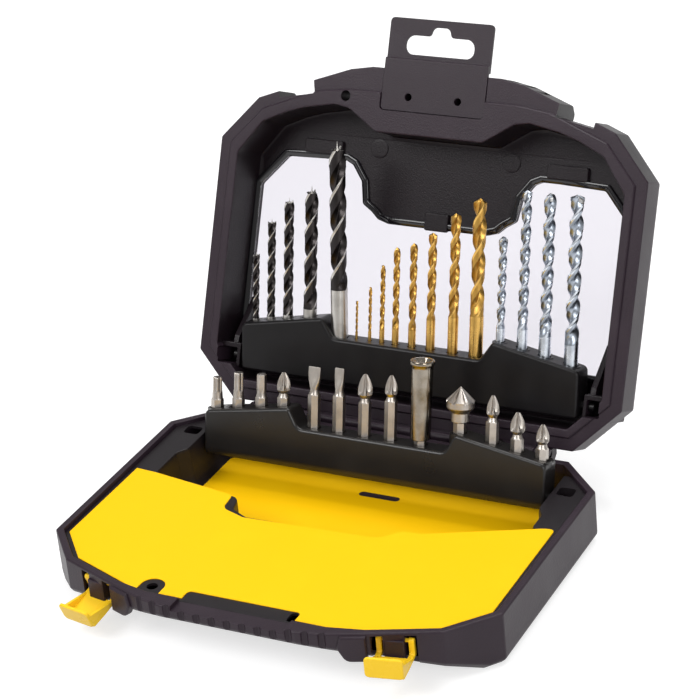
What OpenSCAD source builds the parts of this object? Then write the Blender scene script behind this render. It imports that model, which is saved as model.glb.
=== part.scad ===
// Drill bit case, standing open: a base tray and a leaning lid with two folding bit racks.
// X runs along the hinge, +Y to the back, +Z up. The origin is the centre of the flat underside.
// Base pieces are drawn in base_frame(): x, distance b forward of the hinge axis, height over the rim.
// Lid pieces are drawn in lid_frame(): x, distance b from the hinge axis, height over the lid's rim.

/* [Case] */
// Overall width of the case
case_w = 268; // [262:1:280]
// Hinge axis to the front of the handle
case_d = 205.5; // [203:0.5:212]
// Height of the base, from its underside to its rim
base_h = 31; // [30:0.5:36]
// Depth of the lid, from its rim to its outer face
lid_h = 28; // [27:0.5:34]
// Wall thickness of both shells
wall = 2.4; // [1.8:0.1:3]
// Hinge axis to the back edges of both shells
hinge_gap = 3.5; // [3.4:0.1:4.5]
// Size of the cut-off back corners
back_cut = 26; // [18:1:32]
// Width of the slanted front corners
corner_w = 22; // [18:1:26]
// Depth of the slanted front corners
corner_d = 25; // [20:1:30]
// Depth of the nose in front of the front corners
nose_d = 24; // [22:1:26]
// Half width of the handle part of the nose
handle_half = 75; // [70:1:76]
// Height of the base's front face under the handle
handle_face = 7.5; // [7:0.5:9]
// Length of the sloping part of the underside, from the handle's front
slope_d = 42.5; // [38:0.5:50]
// Bevel round the base's bottom edge
base_bevel = 4; // [3:0.5:5]
// Bevel round the lid's outer face, inward
lid_bevel_in = 6; // [4:0.5:8]
// Bevel round the lid's outer face, along its depth
lid_bevel_up = 8; // [6:0.5:9]
// Angle that the open lid leans back from upright
lid_lean = 25.3; // [22:0.1:26]

/* [Rims] */
// Width of the base's rim
rim_w = 4.3; // [3.5:0.1:5]
// Distance of the lid's lip from the outline
lip_inset = 7; // [6.5:0.1:8]
// Width of the rim at the handle
handle_rim = 12.5; // [11:0.5:13.5]
// Width of the lid's lip
lip_w = 5; // [4:0.5:6]
// Height of the lid's lip over its rim
lip_rise = 1.5; // [1:0.1:1.8]
// Half width of the lid's centre pad
pad_half = 34; // [33.5:0.5:38]
// Handle's front to the back edge of the centre pad
pad_d = 37; // [29.5:0.5:38.5]
// Depth of the tray's surface below the base's rim
deck_drop = 2.5; // [2.3:0.1:3]
// Thickness of the tray's plates
deck_t = 1.6; // [1.2:0.1:1.8]
// Thickness of the yellow cards
card_t = 0.5; // [0.3:0.1:0.6]

/* [Case hinge] */
// Radius of the steel hinge pins
hinge_pin_r = 1.5; // [1.2:0.1:1.7]
// Radius of the hinge knuckles
knuckle_r = 3.1; // [2.8:0.1:3.2]
// Length of each middle knuckle, on the lid
knuckle_len = 20; // [14:1:30]
// Length of each outer knuckle, on the base
ear_len = 9; // [6:1:12]
// Distance of each hinge from the middle
hinge_x = 76; // [60:1:84]

/* [Racks] */
// Half width of both racks
rack_half = 107; // [106:0.5:108]
// Thickness of both racks
rack_t = 16; // [15.6:0.1:16.6]
// Wall thickness of both racks
rack_wall = 2; // [1.6:0.1:2.4]
// Angle that both racks lean back with the case open
rack_lean = 14; // [12:0.5:15]
// Place of the drill rack's plane behind the hinge axis, at rim level
drill_plane = 16; // [15:0.5:18]
// Height of the drill rack's pivot along its plane
drill_pivot = 22.5; // [21:0.5:25]
// Radius of the drill rack's stub pins
drill_stub_r = 2.5; // [2:0.1:3]
// Place of the bit rack's plane in front of the hinge axis, at rim level
bit_plane = 28.5; // [27:0.5:30]
// Depth of the bit rack's pivot along its plane
bit_pivot = 9.3; // [8.5:0.1:10]
// Radius of the bit rack's stub pins
bit_stub_r = 3; // [2.4:0.1:3.2]
// Length of the stub pins
stub_len = 8; // [6:0.5:9]
// Depth of the drill sockets
drill_seat = 17; // [14:0.5:18]
// Depth of the sockets for short bits
short_seat = 6.6; // [5.5:0.1:8]
// Depth of the sockets for long bits
long_seat = 14; // [11:0.5:14.5]
// Clearance all round a tool in its socket
socket_gap = 0.1; // [0.08:0.01:0.2]

/* [Latches] */
// Distance of each latch from the middle
latch_x = 87.5; // [86.5:0.5:88.5]
// Handle's front to the latch pivots
latch_set = 18.5; // [18:0.5:19]
// Depth of the latch pivots below the rim
latch_drop = 5.8; // [5.7:0.1:6.4]
// Angle between a latch and the case's width
latch_slant = 10.5; // [9:0.5:13]
// Width of a latch
latch_w = 20.5; // [18:0.5:21]
// Width of a latch's arms
arm_w = 3.2; // [2.6:0.1:3.6]
// Radius round a latch's pivot
arm_r = 1.6; // [1.4:0.1:1.7]
// Radius of a latch's pivot stubs
latch_stub_r = 1.1; // [0.9:0.1:1.2]
// Distance from a latch's pivot to its hook
latch_reach = 22.4; // [20:0.2:22.8]
// Height of a latch's hook over its pivot
hook_rise = 3.9; // [3.5:0.1:4.2]
// Depth of a latch's plate below its pivot
plate_drop = 9; // [8.4:0.1:9.4]
// Thickness of a latch's plate and hook
latch_t = 1.8; // [1.4:0.1:2]
// Angle that the left latch hangs lower than the right one
left_droop = 20; // [0:1:24]

/* [Hanger tab] */
// Width of the hanger tab
tab_w = 64.5; // [60:0.5:66]
// Thickness of the hanger tab
tab_t = 2; // [1.5:0.1:2]
// Handle's front back to the tab's fixed end
tab_hold = 23.8; // [22.5:0.1:25.5]
// Length of the tab in front of the handle
tab_out = 29.5; // [27.5:0.5:34.5]
// Step between the tab's two plates
tab_step = 2; // [1:0.1:2.5]
// Half length of the hanging slot
slot_half = 21.5; // [18:0.5:23]
// Height of the hanging slot
slot_h = 11; // [9:0.5:12]
// Radius of the slot's middle bump
slot_bump_r = 8; // [7:0.5:9]

/* [Tools] */
// Width across the flats of the hex shanks
hex_af = 6.35; // [6.2:0.05:6.5]
// Neck diameter of the short bits
bit_neck = 5; // [4:0.1:5.5]
// Outside diameter of the bit holder
holder_d = 10; // [9:0.1:11]
// Diameter of the bit holder's flared mouth
holder_mouth = 13.6; // [12:0.1:14]
// Diameter of the countersink's head
sink_d = 15.8; // [14:0.1:16]

/* [Hidden] */

half_w = case_w / 2;
big = 2 * case_w;
flat_front = case_d - slope_d;
pad_b = case_d - pad_d;
latch_b = case_d - latch_set;
tab_b0 = case_d - tab_hold;
tab_b1 = case_d + tab_out;
gap = 0.3;
rim_seam = 0.1;
running_gap = 0.06;
hinge_y = (hinge_gap + base_bevel + flat_front) / 2;
underside_slope = (base_h - handle_face) / (case_d - flat_front);

// Black, yellow and metal colours
black_plastic = [0.16, 0.15, 0.16];
dark_plastic = [0.11, 0.1, 0.11];
case_yellow = [1, 0.83, 0.12];
latch_yellow = [1, 0.76, 0.05];
clear_plastic = [0.9, 0.9, 0.93, 0.5];
steel = [0.72, 0.71, 0.7];
gold_coat = [0.82, 0.6, 0.24];
zinc_coat = [0.76, 0.78, 0.82];
flute_black = [0.12, 0.11, 0.11];

// The case's outline
handle_step = nose_d - 14;
handle_curve = 2.5;
bevel_share = 0.586;
rim_depth = 6;
flange_t = 3;

// The tray's shape: where its back edge runs and how its side shelves lie
shelf_bend_b = [58, 51];
shelf_back_b = 15;
tray_side_b = front_part(81);
tray_right_b = front_part(71.5);
tray_left = fitted([[-57, 91.5], [-54, 103], [-40.5, 108.8]]);
tray_right = fitted([[35.5, 107.5], [41, 105.5], [49, 97], [60.5, 96], [119.3, 71.5]]);
bracket_x = rack_half + 2.5;
shelf_x = bracket_x + 4.2;
floor_card_x = rack_half - 6;
floor_card_b = 22;
tie_hole = [-54.6, case_d - 18.1];
tie_hole_r = 3.1;
tie_notch_r = 7;
tab_bay_half = tab_w / 2 + 1.25;
tab_bay_b = case_d - 20;

// Handle ribs
rib_count = 11;
rib_pitch = 9;
rib_w = 4.5;
rib_depth = 0.8;

// The window in the lid, one half, from its top middle round to its bottom
window_half = fitted([
    [31, 116], [38, 118], [42.5, 122], [48.8, 126], [51, 139], [57.7, 148], [62, 150],
    [73, 150], [101, 149], [117, 131], [117, 52], [109, 45]]);
window_t = 1.5;
window_lap = 3;

// The lid's inner opening, one half, in front of its straight sides
lid_mouth_half = fitted([
    [121.5, 148.5], [106.8, 168], [91.7, 174.8], [80, 178.5], [61, 182], [52, 180.5]]);

// Where the racks' tops bend
drill_top_mid = 42.3;
drill_top_peak = 53.6;
drill_bottom = 16;
drill_mid_half = along_rack(46.5);
drill_peak_x = along_rack(54);
drill_fall = 0.184;
bit_top_mid = 9.8;
bit_top_peak = 21;
bit_bottom = -14;
bit_mid_half = along_rack(46);
bit_peak_x = along_rack(52);
bit_fall = 0.165;
stub_rim = 1;

// Tools in the drill rack: diameter, x and length that stands out
wood = spread([
    [4, -101.3, 41.3], [5, -91.2, 60.5], [6, -79.9, 72.1], [8, -65.3, 77.8], [10, -45.6, 114.8]]);
metal = spread([
    [1.5, -34.7, 22.7], [2, -26.2, 32], [3, -18.4, 45.9], [4, -9.8, 57.3],
    [4.5, 0.8, 61], [5.2, 12.5, 68.3], [6, 26.5, 81.2], [8, 41, 91.3]]);
masonry = spread([[5, 55.8, 60.2], [6, 69.2, 90.4], [7, 83.1, 92.8], [8, 99.1, 96.5]]);
flute_turn = 6;
flute_points = 12;
carbide_h = 3;

// Tools in the bit rack: x and length that stands out
short_bits = [
    for (bit = [[-102.6, 18.1], [-88.6, 20.4], [-73.5, 19.1], [-59.1, 19.6],
        [71.4, 26.7], [86.5, 21.7], [101.5, 19.5]]) [along_rack(bit[0]), bit[1]]];
long_bits = [
    for (bit = [[-39.3, 35.6], [-23.4, 37], [-7.1, 35.7], [9.2, 37.3]]) [along_rack(bit[0]), bit[1]]];
holder_x = along_rack(27.9);
holder_out = 49;
sink_x = along_rack(51.8);
sink_out = 26.2;
holder_recess = 10;
holder_shank_up = 10;
magnet_h = 3;

// The latch's pocket and the lid's catch, in the latch's own frame
latch_side_gap = 1.5;
boss_half = 5.4;
boss_front = 4.4;
pocket_back = 2.2;
catch_back = 2.2;
latch_foot = 5.4;

function both_sides(half) =
    concat(half, [for (i = [len(half) - 1:-1:0]) [-half[i].x, half[i].y]]);

function case_half() = [
    [half_w - back_cut, hinge_gap],
    [half_w, hinge_gap + back_cut],
    [half_w, case_d - nose_d - corner_d],
    [half_w - corner_w, case_d - nose_d],
    [handle_half, case_d - handle_step],
    [handle_half * 0.72, case_d - handle_curve],
    [handle_half * 0.53, case_d]];

// Places in front of the shelves' bend, read on a case 205.5 deep and 268 wide, follow its real size
function front_part(b) = b + (case_d - 205.5) * max(0, (b - 58) / (205.5 - 58));

function fitted(points) = [for (p = points) [p.x * half_w / 134, front_part(p.y)]];

// Places along a rack, read on one 214 long, follow its real length
function along_rack(x) = x * rack_half / 107;

function spread(tools) = [for (tool = tools) [tool[0], along_rack(tool[1]), tool[2]]];

function drill_top(x) =
    abs(x) <= drill_mid_half ? drill_top_mid
    : abs(x) <= drill_peak_x
        ? drill_top_mid
            + (drill_top_peak - drill_top_mid) * (abs(x) - drill_mid_half) / (drill_peak_x - drill_mid_half)
        : drill_top_peak - drill_fall * (abs(x) - drill_peak_x);

function bit_top(x) =
    abs(x) <= bit_mid_half ? bit_top_mid
    : bit_top_peak - bit_fall * max(0, abs(x) - bit_peak_x);

// Front views of the two racks
function rack_profile(bottom, end_top, peak, mid) = both_sides([
    [rack_half, bottom],
    [rack_half, end_top],
    peak,
    mid]);

drill_profile = rack_profile(
    drill_bottom, drill_top(rack_half), [drill_peak_x, drill_top_peak], [drill_mid_half, drill_top_mid]);
bit_profile =
    rack_profile(bit_bottom, bit_top(rack_half), [bit_peak_x, bit_top_peak], [bit_mid_half, bit_top_mid]);

function flute_section(r) = [
    for (i = [0:flute_points - 1])
        let (a = 360 * i / flute_points, k = 0.42 + 0.58 * pow(abs(cos(a)), 0.8))
            [r * k * cos(a), r * k * sin(a)]];

module base_frame() translate([0, hinge_y, base_h]) mirror([0, 1, 0]) children();

module lid_frame() translate([0, hinge_y, base_h]) rotate([90 - lid_lean, 0, 0]) children();

module rack_frame(plane) translate([0, hinge_y + plane, base_h]) rotate([-rack_lean, 0, 0]) children();

// side is 1 for the right latch and -1 for the left one
module latch_frame(side)
    mirror([side < 0 ? 1 : 0, 0, 0])
        translate([latch_x, latch_b, -latch_drop])
            rotate([0, 0, -latch_slant])
                children();

module along_x(len) translate([-len / 2, 0, 0]) rotate([90, 0, 90]) linear_extrude(len) children();

module rod_x(r, from, to) translate([from, 0, 0]) rotate([0, 90, 0]) cylinder(r = r, h = to - from, $fn = 48);

module slab(low, high) translate([0, 0, low]) linear_extrude(high - low) children();

module case_outline(inset) offset(delta = -inset) polygon(both_sides(case_half()));

// The rim's opening, which is set back further at the handle
module rim_opening(inset)
    intersection() {
        case_outline(inset);
        translate([-case_w, 0]) square([big, case_d - handle_rim + lip_inset - inset]);
    }

// The outline's corners drawn in by inset, with every side kept parallel
function drawn_in(points, inset) = [
    for (i = [0:len(points) - 1])
        let (
            n = len(points),
            before = (points[i] - points[(i + n - 1) % n]) / norm(points[i] - points[(i + n - 1) % n]),
            after = (points[(i + 1) % n] - points[i]) / norm(points[(i + 1) % n] - points[i]))
            points[i] + inset * [-before.y - after.y, before.x + after.x] / (1 + before * after)];

// Outline prism down to -depth, with a bevel round its far face
module bevelled_body(inset, depth, cut_in, cut_up) {
    outline = both_sides(case_half());
    n = len(outline);
    rings = [
        for (ring = [[inset + cut_in, -depth], [inset, cut_up - depth], [inset, 0]])
            for (p = drawn_in(outline, ring[0])) [p.x, p.y, ring[1]]];
    polyhedron(rings, concat(
        [[for (i = [0:n - 1]) i]],
        [for (ring = [0, n], i = [0:n - 1])
            [ring + i, ring + n + i, ring + n + (i + 1) % n, ring + (i + 1) % n]],
        [[for (i = [n - 1:-1:0]) 2 * n + i]]));
}

// The sloping front underside, as a side view in (b, z), drawn in by inset
module base_side_view(inset)
    polygon([
        [0, 1],
        [0, inset - base_h],
        [flat_front - inset * (norm([1, underside_slope]) - 1) / underside_slope, inset - base_h],
        [
            case_d + 10,
            inset * norm([1, underside_slope]) - base_h + underside_slope * (case_d + 10 - flat_front)],
        [case_d + 10, 1]]);

module base_body()
    intersection() {
        bevelled_body(0, base_h, base_bevel, base_bevel);
        along_x(big) base_side_view(0);
    }

module base_hollow(inset)
    intersection() {
        translate([0, 0, 1])
            bevelled_body(
                inset, base_h - inset + 1, base_bevel - bevel_share * inset, base_bevel - bevel_share * inset);
        along_x(big) base_side_view(inset);
    }

// Base knuckles, with a toe that the open lid stops against
module hinge_ear() {
    toe_far = 9;
    toe_near = 3.2;
    lid_back = hinge_gap - gap;
    along_x(ear_len)
        polygon([
            [hinge_gap + 1, -14],
            [hinge_gap + 1, -gap],
            [0, -gap],
            [-toe_near, (lid_back - toe_near * sin(lid_lean)) / cos(lid_lean)],
            [-toe_far, (lid_back - toe_far * sin(lid_lean)) / cos(lid_lean)],
            [-toe_far, -4]]);
    rod_x(knuckle_r, -ear_len / 2, ear_len / 2);
}

module lid_knuckle() {
    along_x(knuckle_len)
        polygon([[hinge_gap + 1, -10], [hinge_gap + 1, -gap], [0, -gap], [-knuckle_r * 0.7, -1]]);
    rod_x(knuckle_r, -knuckle_len / 2, knuckle_len / 2);
}

module handle_ribs(low, high)
    for (i = [0:rib_count - 1])
        translate([(i - (rib_count - 1) / 2) * rib_pitch - rib_w / 2, case_d - rib_depth, low])
            cube([rib_w, rib_depth + 1, high - low]);

// Slots for a latch's arms on each side of a boss, open at the front and below
module latch_slots() {
    wide_half = latch_w / 2 + latch_side_gap;
    for (s = [-1, 1])
        translate([s > 0 ? boss_half : -wide_half, -pocket_back, -base_h])
            cube([wide_half - boss_half, case_d, base_h + latch_drop - 1.6]);
    translate([-boss_half - 1, boss_front, -base_h])
        cube([2 * boss_half + 2, case_d, base_h + latch_drop - 1.6]);
    translate([-wide_half, -pocket_back, -base_h])
        cube([2 * wide_half, case_d, base_h - plate_drop + latch_t - gap]);
}

module latch_boss()
    translate([-boss_half - 1, -pocket_back - 1, 2 * latch_t - plate_drop])
        cube([2 * boss_half + 2, 12, plate_drop + latch_drop - 2 * latch_t - deck_drop - deck_t - gap]);

module base_shell()
    color(black_plastic)
        base_frame()
            difference() {
                union() {
                    difference() {
                        base_body();
                        base_hollow(wall);
                    }
                    intersection() {
                        base_body();
                        union() {
                            slab(-rim_depth, 0)
                                difference() {
                                    case_outline(0);
                                    rim_opening(rim_w);
                                }
                            for (s = [-1, 1]) latch_frame(s) latch_boss();
                        }
                    }
                    for (s = [-1, 1], e = [-1, 1])
                        translate([s * hinge_x + e * (knuckle_len + ear_len + 2 * gap) / 2, 0, 0])
                            hinge_ear();
                }
                for (s = [-1, 1])
                    latch_frame(s) {
                        latch_slots();
                        rod_x(latch_stub_r + running_gap, -boss_half - 2, boss_half + 2);
                    }
                for (s = [-1, 1])
                    translate([s * hinge_x, 0, 0])
                        rod_x(hinge_pin_r, -knuckle_len / 2 - ear_len - 1, knuckle_len / 2 + ear_len + 1);
                handle_ribs(1.5 - handle_face, -1.5);
                translate([-tab_bay_half, tab_bay_b, -deck_drop]) cube([2 * tab_bay_half, case_d, 10]);
                translate([tie_hole.x, tie_hole.y, -base_h])
                    cylinder(r = tie_hole_r, h = 2 * base_h, $fn = 48);
            }

// Outline of the tray's top plate, from the plateau back along the side shelves
module tray_outline()
    intersection() {
        rim_opening(rim_w + gap);
        polygon(concat(
            [
                [-half_w, case_d],
                [-half_w, shelf_back_b],
                [-bracket_x, shelf_back_b],
                [-bracket_x, shelf_bend_b[1]],
                [-shelf_x, shelf_bend_b[0]],
                [-shelf_x, tray_side_b]],
            tray_left,
            tray_right,
            [
                [shelf_x, tray_right_b],
                [shelf_x, shelf_bend_b[0]],
                [bracket_x, shelf_bend_b[1]],
                [bracket_x, shelf_back_b],
                [half_w, shelf_back_b],
                [half_w, case_d]]));
    }

module tray_insert() {
    skirt_inset = lip_inset + 3;
    pivot_b = bit_plane + bit_pivot * sin(rack_lean);
    pivot_z = -bit_pivot * cos(rack_lean);
    notch_r = bit_stub_r + running_gap;
    color(dark_plastic)
        base_frame()
            difference() {
                union() {
                    slab(-deck_drop - deck_t, -deck_drop) tray_outline();
                    intersection() {
                        base_hollow(wall + gap);
                        slab(-base_h, -deck_drop)
                            intersection() {
                                case_outline(skirt_inset);
                                translate([-case_w, 0]) square([big, case_d - handle_rim - 6]);
                                difference() {
                                    tray_outline();
                                    offset(delta = -deck_t)
                                        intersection() {
                                            tray_outline();
                                            case_outline(skirt_inset);
                                            translate([-case_w, 0]) square([big, case_d - handle_rim - 6]);
                                        }
                                }
                            }
                    }
                    intersection() {
                        base_hollow(wall + gap);
                        slab(-base_h, -deck_drop) tray_outline();
                        for (s = [-1, 1])
                            translate([s * (bracket_x + 7) - 7, pivot_b - 8, pivot_z - 8])
                                cube([14, 16, base_h]);
                    }
                }
                for (s = [-1, 1])
                    translate([s * (bracket_x + 6) - 6.5, pivot_b, pivot_z]) {
                        rod_x(notch_r, 0, 13);
                        translate([0, -notch_r, 0]) cube([13, 2 * notch_r, 20]);
                    }
                translate([tie_hole.x, tie_hole.y, -base_h])
                    cylinder(r = tie_hole_r, h = 2 * base_h, $fn = 48);
            }
}

module tray_card()
    color(case_yellow)
        base_frame()
            slab(-deck_drop, -deck_drop + card_t)
                difference() {
                    intersection() {
                        tray_outline();
                        rim_opening(lip_inset);
                        polygon(concat(
                            [[-half_w, case_d], [-half_w, tray_side_b]],
                            [[-shelf_x, tray_side_b + 1]],
                            tray_left,
                            tray_right,
                            [[half_w, tray_right_b], [half_w, case_d]]));
                    }
                    translate([-tab_bay_half, tab_bay_b]) square([2 * tab_bay_half, case_d]);
                    translate(tie_hole) circle(r = tie_notch_r, $fn = 48);
                    translate([tie_hole.x - tie_notch_r, tie_hole.y]) square([2 * tie_notch_r, case_d]);
                }

module floor_card()
    color(case_yellow)
        base_frame()
            slab(wall - base_h, wall - base_h + card_t)
                intersection() {
                    polygon(concat(
                        [[-floor_card_x, floor_card_b]],
                        [[-floor_card_x, tray_side_b]],
                        [for (p = tray_left) p - [0, gap + 1]],
                        [for (p = tray_right) p - [0, gap + 1]],
                        [[floor_card_x, floor_card_b]]));
                    translate([-floor_card_x, floor_card_b]) square([2 * floor_card_x, case_d]);
                }

module hinge_pins()
    color(steel)
        base_frame()
            for (s = [-1, 1])
                translate([s * hinge_x, 0, 0])
                    rod_x(hinge_pin_r, -knuckle_len / 2 - ear_len, knuckle_len / 2 + ear_len);

module lid_mouth() {
    inner = lip_inset + lip_w;
    intersection() {
        case_outline(inner);
        polygon(both_sides(concat(
            [[half_w, 0]],
            lid_mouth_half,
            [[pad_half + 1, pad_b + 0.3], [pad_half - 1, pad_b - 0.5]])));
    }
}

module lip_outline()
    intersection() {
        case_outline(lip_inset);
        translate([-case_w, 0]) square([big, case_d - handle_rim - 1.5]);
    }

module window_opening(grow) offset(delta = grow) polygon(both_sides(window_half));

// The lid's catch recess: shallow beside the plate, deeper where the hook closes over its shoulder
module lid_recess(side, grow)
    mirror([side < 0 ? 1 : 0, 0, 0])
        translate([latch_x, latch_b, 0])
            rotate([0, 0, -latch_slant]) {
                wide_half = latch_w / 2 + latch_side_gap + grow;
                hook_level = latch_drop - latch_reach + gap + grow;
                translate([-wide_half, -catch_back - grow, -lid_h - 5])
                    cube([2 * wide_half, case_d, lid_h + 10]);
                translate([-wide_half, -hook_rise - gap - grow, -lid_h - 5])
                    cube([2 * wide_half, case_d, lid_h + 5 + hook_level]);
            }

module lid_shell() {
    stub_b = drill_plane * sin(lid_lean) + drill_pivot * cos(lid_lean - rack_lean);
    stub_h = -drill_plane * cos(lid_lean) + drill_pivot * sin(lid_lean - rack_lean);
    color(black_plastic)
        lid_frame()
            difference() {
                union() {
                    difference() {
                        bevelled_body(0, lid_h, lid_bevel_in, lid_bevel_up);
                        difference() {
                            translate([0, 0, 1])
                                bevelled_body(wall, lid_h - wall + 1,
                                    lid_bevel_in - bevel_share * wall, lid_bevel_up - bevel_share * wall);
                            for (s = [-1, 1]) lid_recess(s, wall);
                        }
                    }
                    slab(-flange_t, 0)
                        difference() {
                            case_outline(0);
                            lid_mouth();
                        }
                    slab(-flange_t, lip_rise)
                        difference() {
                            lip_outline();
                            lid_mouth();
                        }
                    intersection() {
                        bevelled_body(0, lid_h, lid_bevel_in, lid_bevel_up);
                        union() {
                            for (s = [-1, 1])
                                translate([s > 0 ? bracket_x - 1 : wall / 2 - half_w, stub_b - 5, -lid_h])
                                    cube([half_w - wall / 2 - bracket_x + 1, 10, lid_h + stub_h + 5]);
                            translate([tie_hole.x, tie_hole.y, -lid_h])
                                cylinder(r = tie_hole_r + wall, h = lid_h, $fn = 48);
                        }
                    }
                    for (s = [-1, 1]) translate([s * hinge_x, 0, 0]) lid_knuckle();
                }
                for (s = [-1, 1]) lid_recess(s, 0);
                slab(-rim_seam, lip_rise + 1)
                    difference() {
                        case_outline(-1);
                        lip_outline();
                    }
                translate([0, 0, -lid_h - 1]) linear_extrude(wall + 2) window_opening(0);
                for (s = [-1, 1])
                    translate([s * hinge_x, 0, 0])
                        rod_x(hinge_pin_r + running_gap, -knuckle_len / 2 - 1, knuckle_len / 2 + 1);
                for (s = [-1, 1])
                    translate([s * (bracket_x + stub_len / 2), stub_b, stub_h])
                        rod_x(drill_stub_r + running_gap, -stub_len / 2 - 2, stub_len / 2 + 2);
                translate([tie_hole.x, tie_hole.y, -2 * lid_h])
                    cylinder(r = tie_hole_r, h = 3 * lid_h, $fn = 48);
                translate([-tab_w / 2 - gap, tab_b0 - gap, -tab_t + lip_rise - 1])
                    cube([tab_w + 2 * gap, case_d, 20]);
                handle_ribs(-lid_h + lid_bevel_up + 2, -3);
            }
}

module lid_window()
    color(clear_plastic)
        lid_frame()
            slab(wall - lid_h, wall - lid_h + window_t) window_opening(window_lap);

// Lower plate, crank and upper plate with the hanging slot
module hanger_tab() {
    low = lip_rise - 1 - tab_t;
    crank_b = case_d + 2;
    slot_b = (crank_b + 4.4 + tab_b1) / 2 - 3.3;
    color(dark_plastic)
        lid_frame()
            difference() {
                union() {
                    translate([-tab_w / 2, tab_b0, low]) cube([tab_w, crank_b + 4.4 - tab_b0, tab_t]);
                    translate([-tab_w / 2, crank_b, low - tab_step])
                        cube([tab_w, tab_b1 - crank_b, tab_t]);
                    translate([-tab_w / 2, crank_b, low - tab_step]) cube([tab_w, 4.4, tab_step + tab_t]);
                }
                translate([0, 0, low - tab_step - 1])
                    linear_extrude(tab_t + tab_step + 2) {
                        translate([slot_h / 2 - slot_half, slot_b - slot_h / 2])
                            square([2 * slot_half - slot_h, slot_h]);
                        for (s = [-1, 1])
                            translate([s * (slot_half - slot_h / 2), slot_b]) circle(d = slot_h, $fn = 48);
                        translate([0, slot_b + slot_h / 2 + 5.3 - slot_bump_r])
                            circle(r = slot_bump_r, $fn = 48);
                        for (s = [-1, 1])
                            translate([s * 15.5, tab_b0 + 8.3]) circle(r = 2.2, $fn = 32);
                    }
            }
}

// A rack: a shell open at the back, a boss round each socket and a stub pin at each end
module rack_body(profile, pivot, stub_r) {
    difference() {
        along_y(rack_t) polygon(profile);
        translate([0, rack_wall, 0]) along_y(rack_t) offset(delta = -rack_wall) polygon(profile);
    }
    for (s = [-1, 1])
        translate([s * (rack_half + stub_len / 2 - 1), 0, pivot]) {
            rod_x(stub_r, -stub_len / 2 - 1, stub_len / 2 + 1);
            translate([-s * (stub_len / 2) - 1.5, -rack_t / 2, -stub_r - stub_rim])
                cube([3, rack_t, 2 * (stub_r + stub_rim)]);
        }
}

module along_y(len) translate([0, len / 2, 0]) rotate([90, 0, 0]) linear_extrude(len) children();

module drill_rack() {
    boss_wall = 1.5;
    color(dark_plastic)
        rack_frame(drill_plane)
            difference() {
                union() {
                    rack_body(drill_profile, drill_pivot, drill_stub_r);
                    intersection() {
                        along_y(rack_t) polygon(drill_profile);
                        for (tool = concat(wood, metal, masonry))
                            translate([tool[1], 0, drill_top(tool[1]) - drill_seat - boss_wall])
                                cylinder(r = tool[0] / 2 + boss_wall, h = drill_seat + 20, $fn = 32);
                    }
                }
                for (tool = concat(wood, metal, masonry))
                    translate([tool[1], 0, drill_top(tool[1]) - drill_seat])
                        cylinder(r = tool[0] / 2 + socket_gap, h = drill_seat + 20, $fn = 32);
            }
}

module hex_rod(af, h) cylinder(d = af / cos(30), h = h, $fn = 6);

module bit_rack() {
    boss_wall = 1.5;
    color(dark_plastic)
        rack_frame(-bit_plane)
            difference() {
                union() {
                    rack_body(bit_profile, -bit_pivot, bit_stub_r);
                    intersection() {
                        along_y(rack_t) polygon(bit_profile);
                        union() {
                            for (tool = concat(short_bits, [[sink_x]]))
                                bit_boss(tool[0], short_seat + boss_wall, boss_wall);
                            for (tool = concat(long_bits, [[holder_x]]))
                                bit_boss(tool[0], long_seat + boss_wall, boss_wall);
                        }
                    }
                }
                for (tool = concat(short_bits, [[sink_x]])) bit_boss(tool[0], short_seat, socket_gap);
                for (tool = concat(long_bits, [[holder_x]])) bit_boss(tool[0], long_seat, socket_gap);
            }
}

module bit_boss(x, depth, grow) translate([x, 0, bit_top(x) - depth]) hex_rod(hex_af + 2 * grow, depth + 20);

// A latch: two arms that hang from the pivot, a plate and an upturned hook
module latch() {
    top = latch_t - plate_drop;
    hook_v = latch_reach;
    for (s = [-1, 1])
        translate([s * (latch_w - arm_w) / 2, 0, 0]) {
            rod_x(arm_r, -arm_w / 2, arm_w / 2);
            along_x(arm_w)
                polygon([
                    [-arm_r, 0],
                    [-arm_r, -plate_drop + 0.8],
                    [-arm_r + 0.8, -plate_drop],
                    [latch_foot + 1, -plate_drop],
                    [latch_foot + 1, top],
                    [arm_r + 1, top],
                    [arm_r, top + 1],
                    [arm_r, 0]]);
            along_x(arm_w)
                polygon([
                    [latch_foot, top - 0.5],
                    [latch_foot, top],
                    [hook_v + 0.5, 0],
                    [hook_v + 0.5, top - 0.5]]);
            translate([-s * (arm_w / 2 + 1.5), 0, 0]) rod_x(latch_stub_r, -1.6, 1.6);
        }
    along_x(latch_w)
        polygon([
            [latch_foot, -plate_drop],
            [latch_foot, top],
            [hook_v, top + 1.8],
            [hook_v, hook_rise],
            [hook_v + latch_t, hook_rise],
            [hook_v + latch_t, top + 1.4],
            [hook_v + 0.4, top],
            [latch_foot + 8, -plate_drop]]);
}

module latch_left() color(latch_yellow) base_frame() latch_frame(-1) rotate([-left_droop, 0, 0]) latch();

module latch_right() color(latch_yellow) base_frame() latch_frame(1) latch();

// A twist drill: plain shank, twisted flutes and a cone point. out is the length over the rack.
module twist_drill(tool, shank_share, tip_angle) {
    r = tool[0] / 2;
    out = tool[2];
    shank = drill_seat + shank_share * out;
    tip = r / tan(tip_angle / 2);
    flute = drill_seat + out - shank - tip;
    turn = 360 * flute / (flute_turn * tool[0]);
    rack_frame(drill_plane)
        translate([tool[1], 0, drill_top(tool[1]) - drill_seat]) {
            cylinder(r = r, h = shank, $fn = 32);
            translate([0, 0, shank - 0.2])
                linear_extrude(height = flute + 0.2, twist = -turn, slices = max(6, ceil(turn / 30)))
                    polygon(flute_section(r));
            translate([0, 0, shank + flute - 0.2])
                cylinder(r1 = 0.42 * r, r2 = 0.05 * r, h = tip + 0.2, $fn = 24);
        }
}

module wood_drill(i) color(flute_black) twist_drill(wood[i], 0.2, 80);

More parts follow.
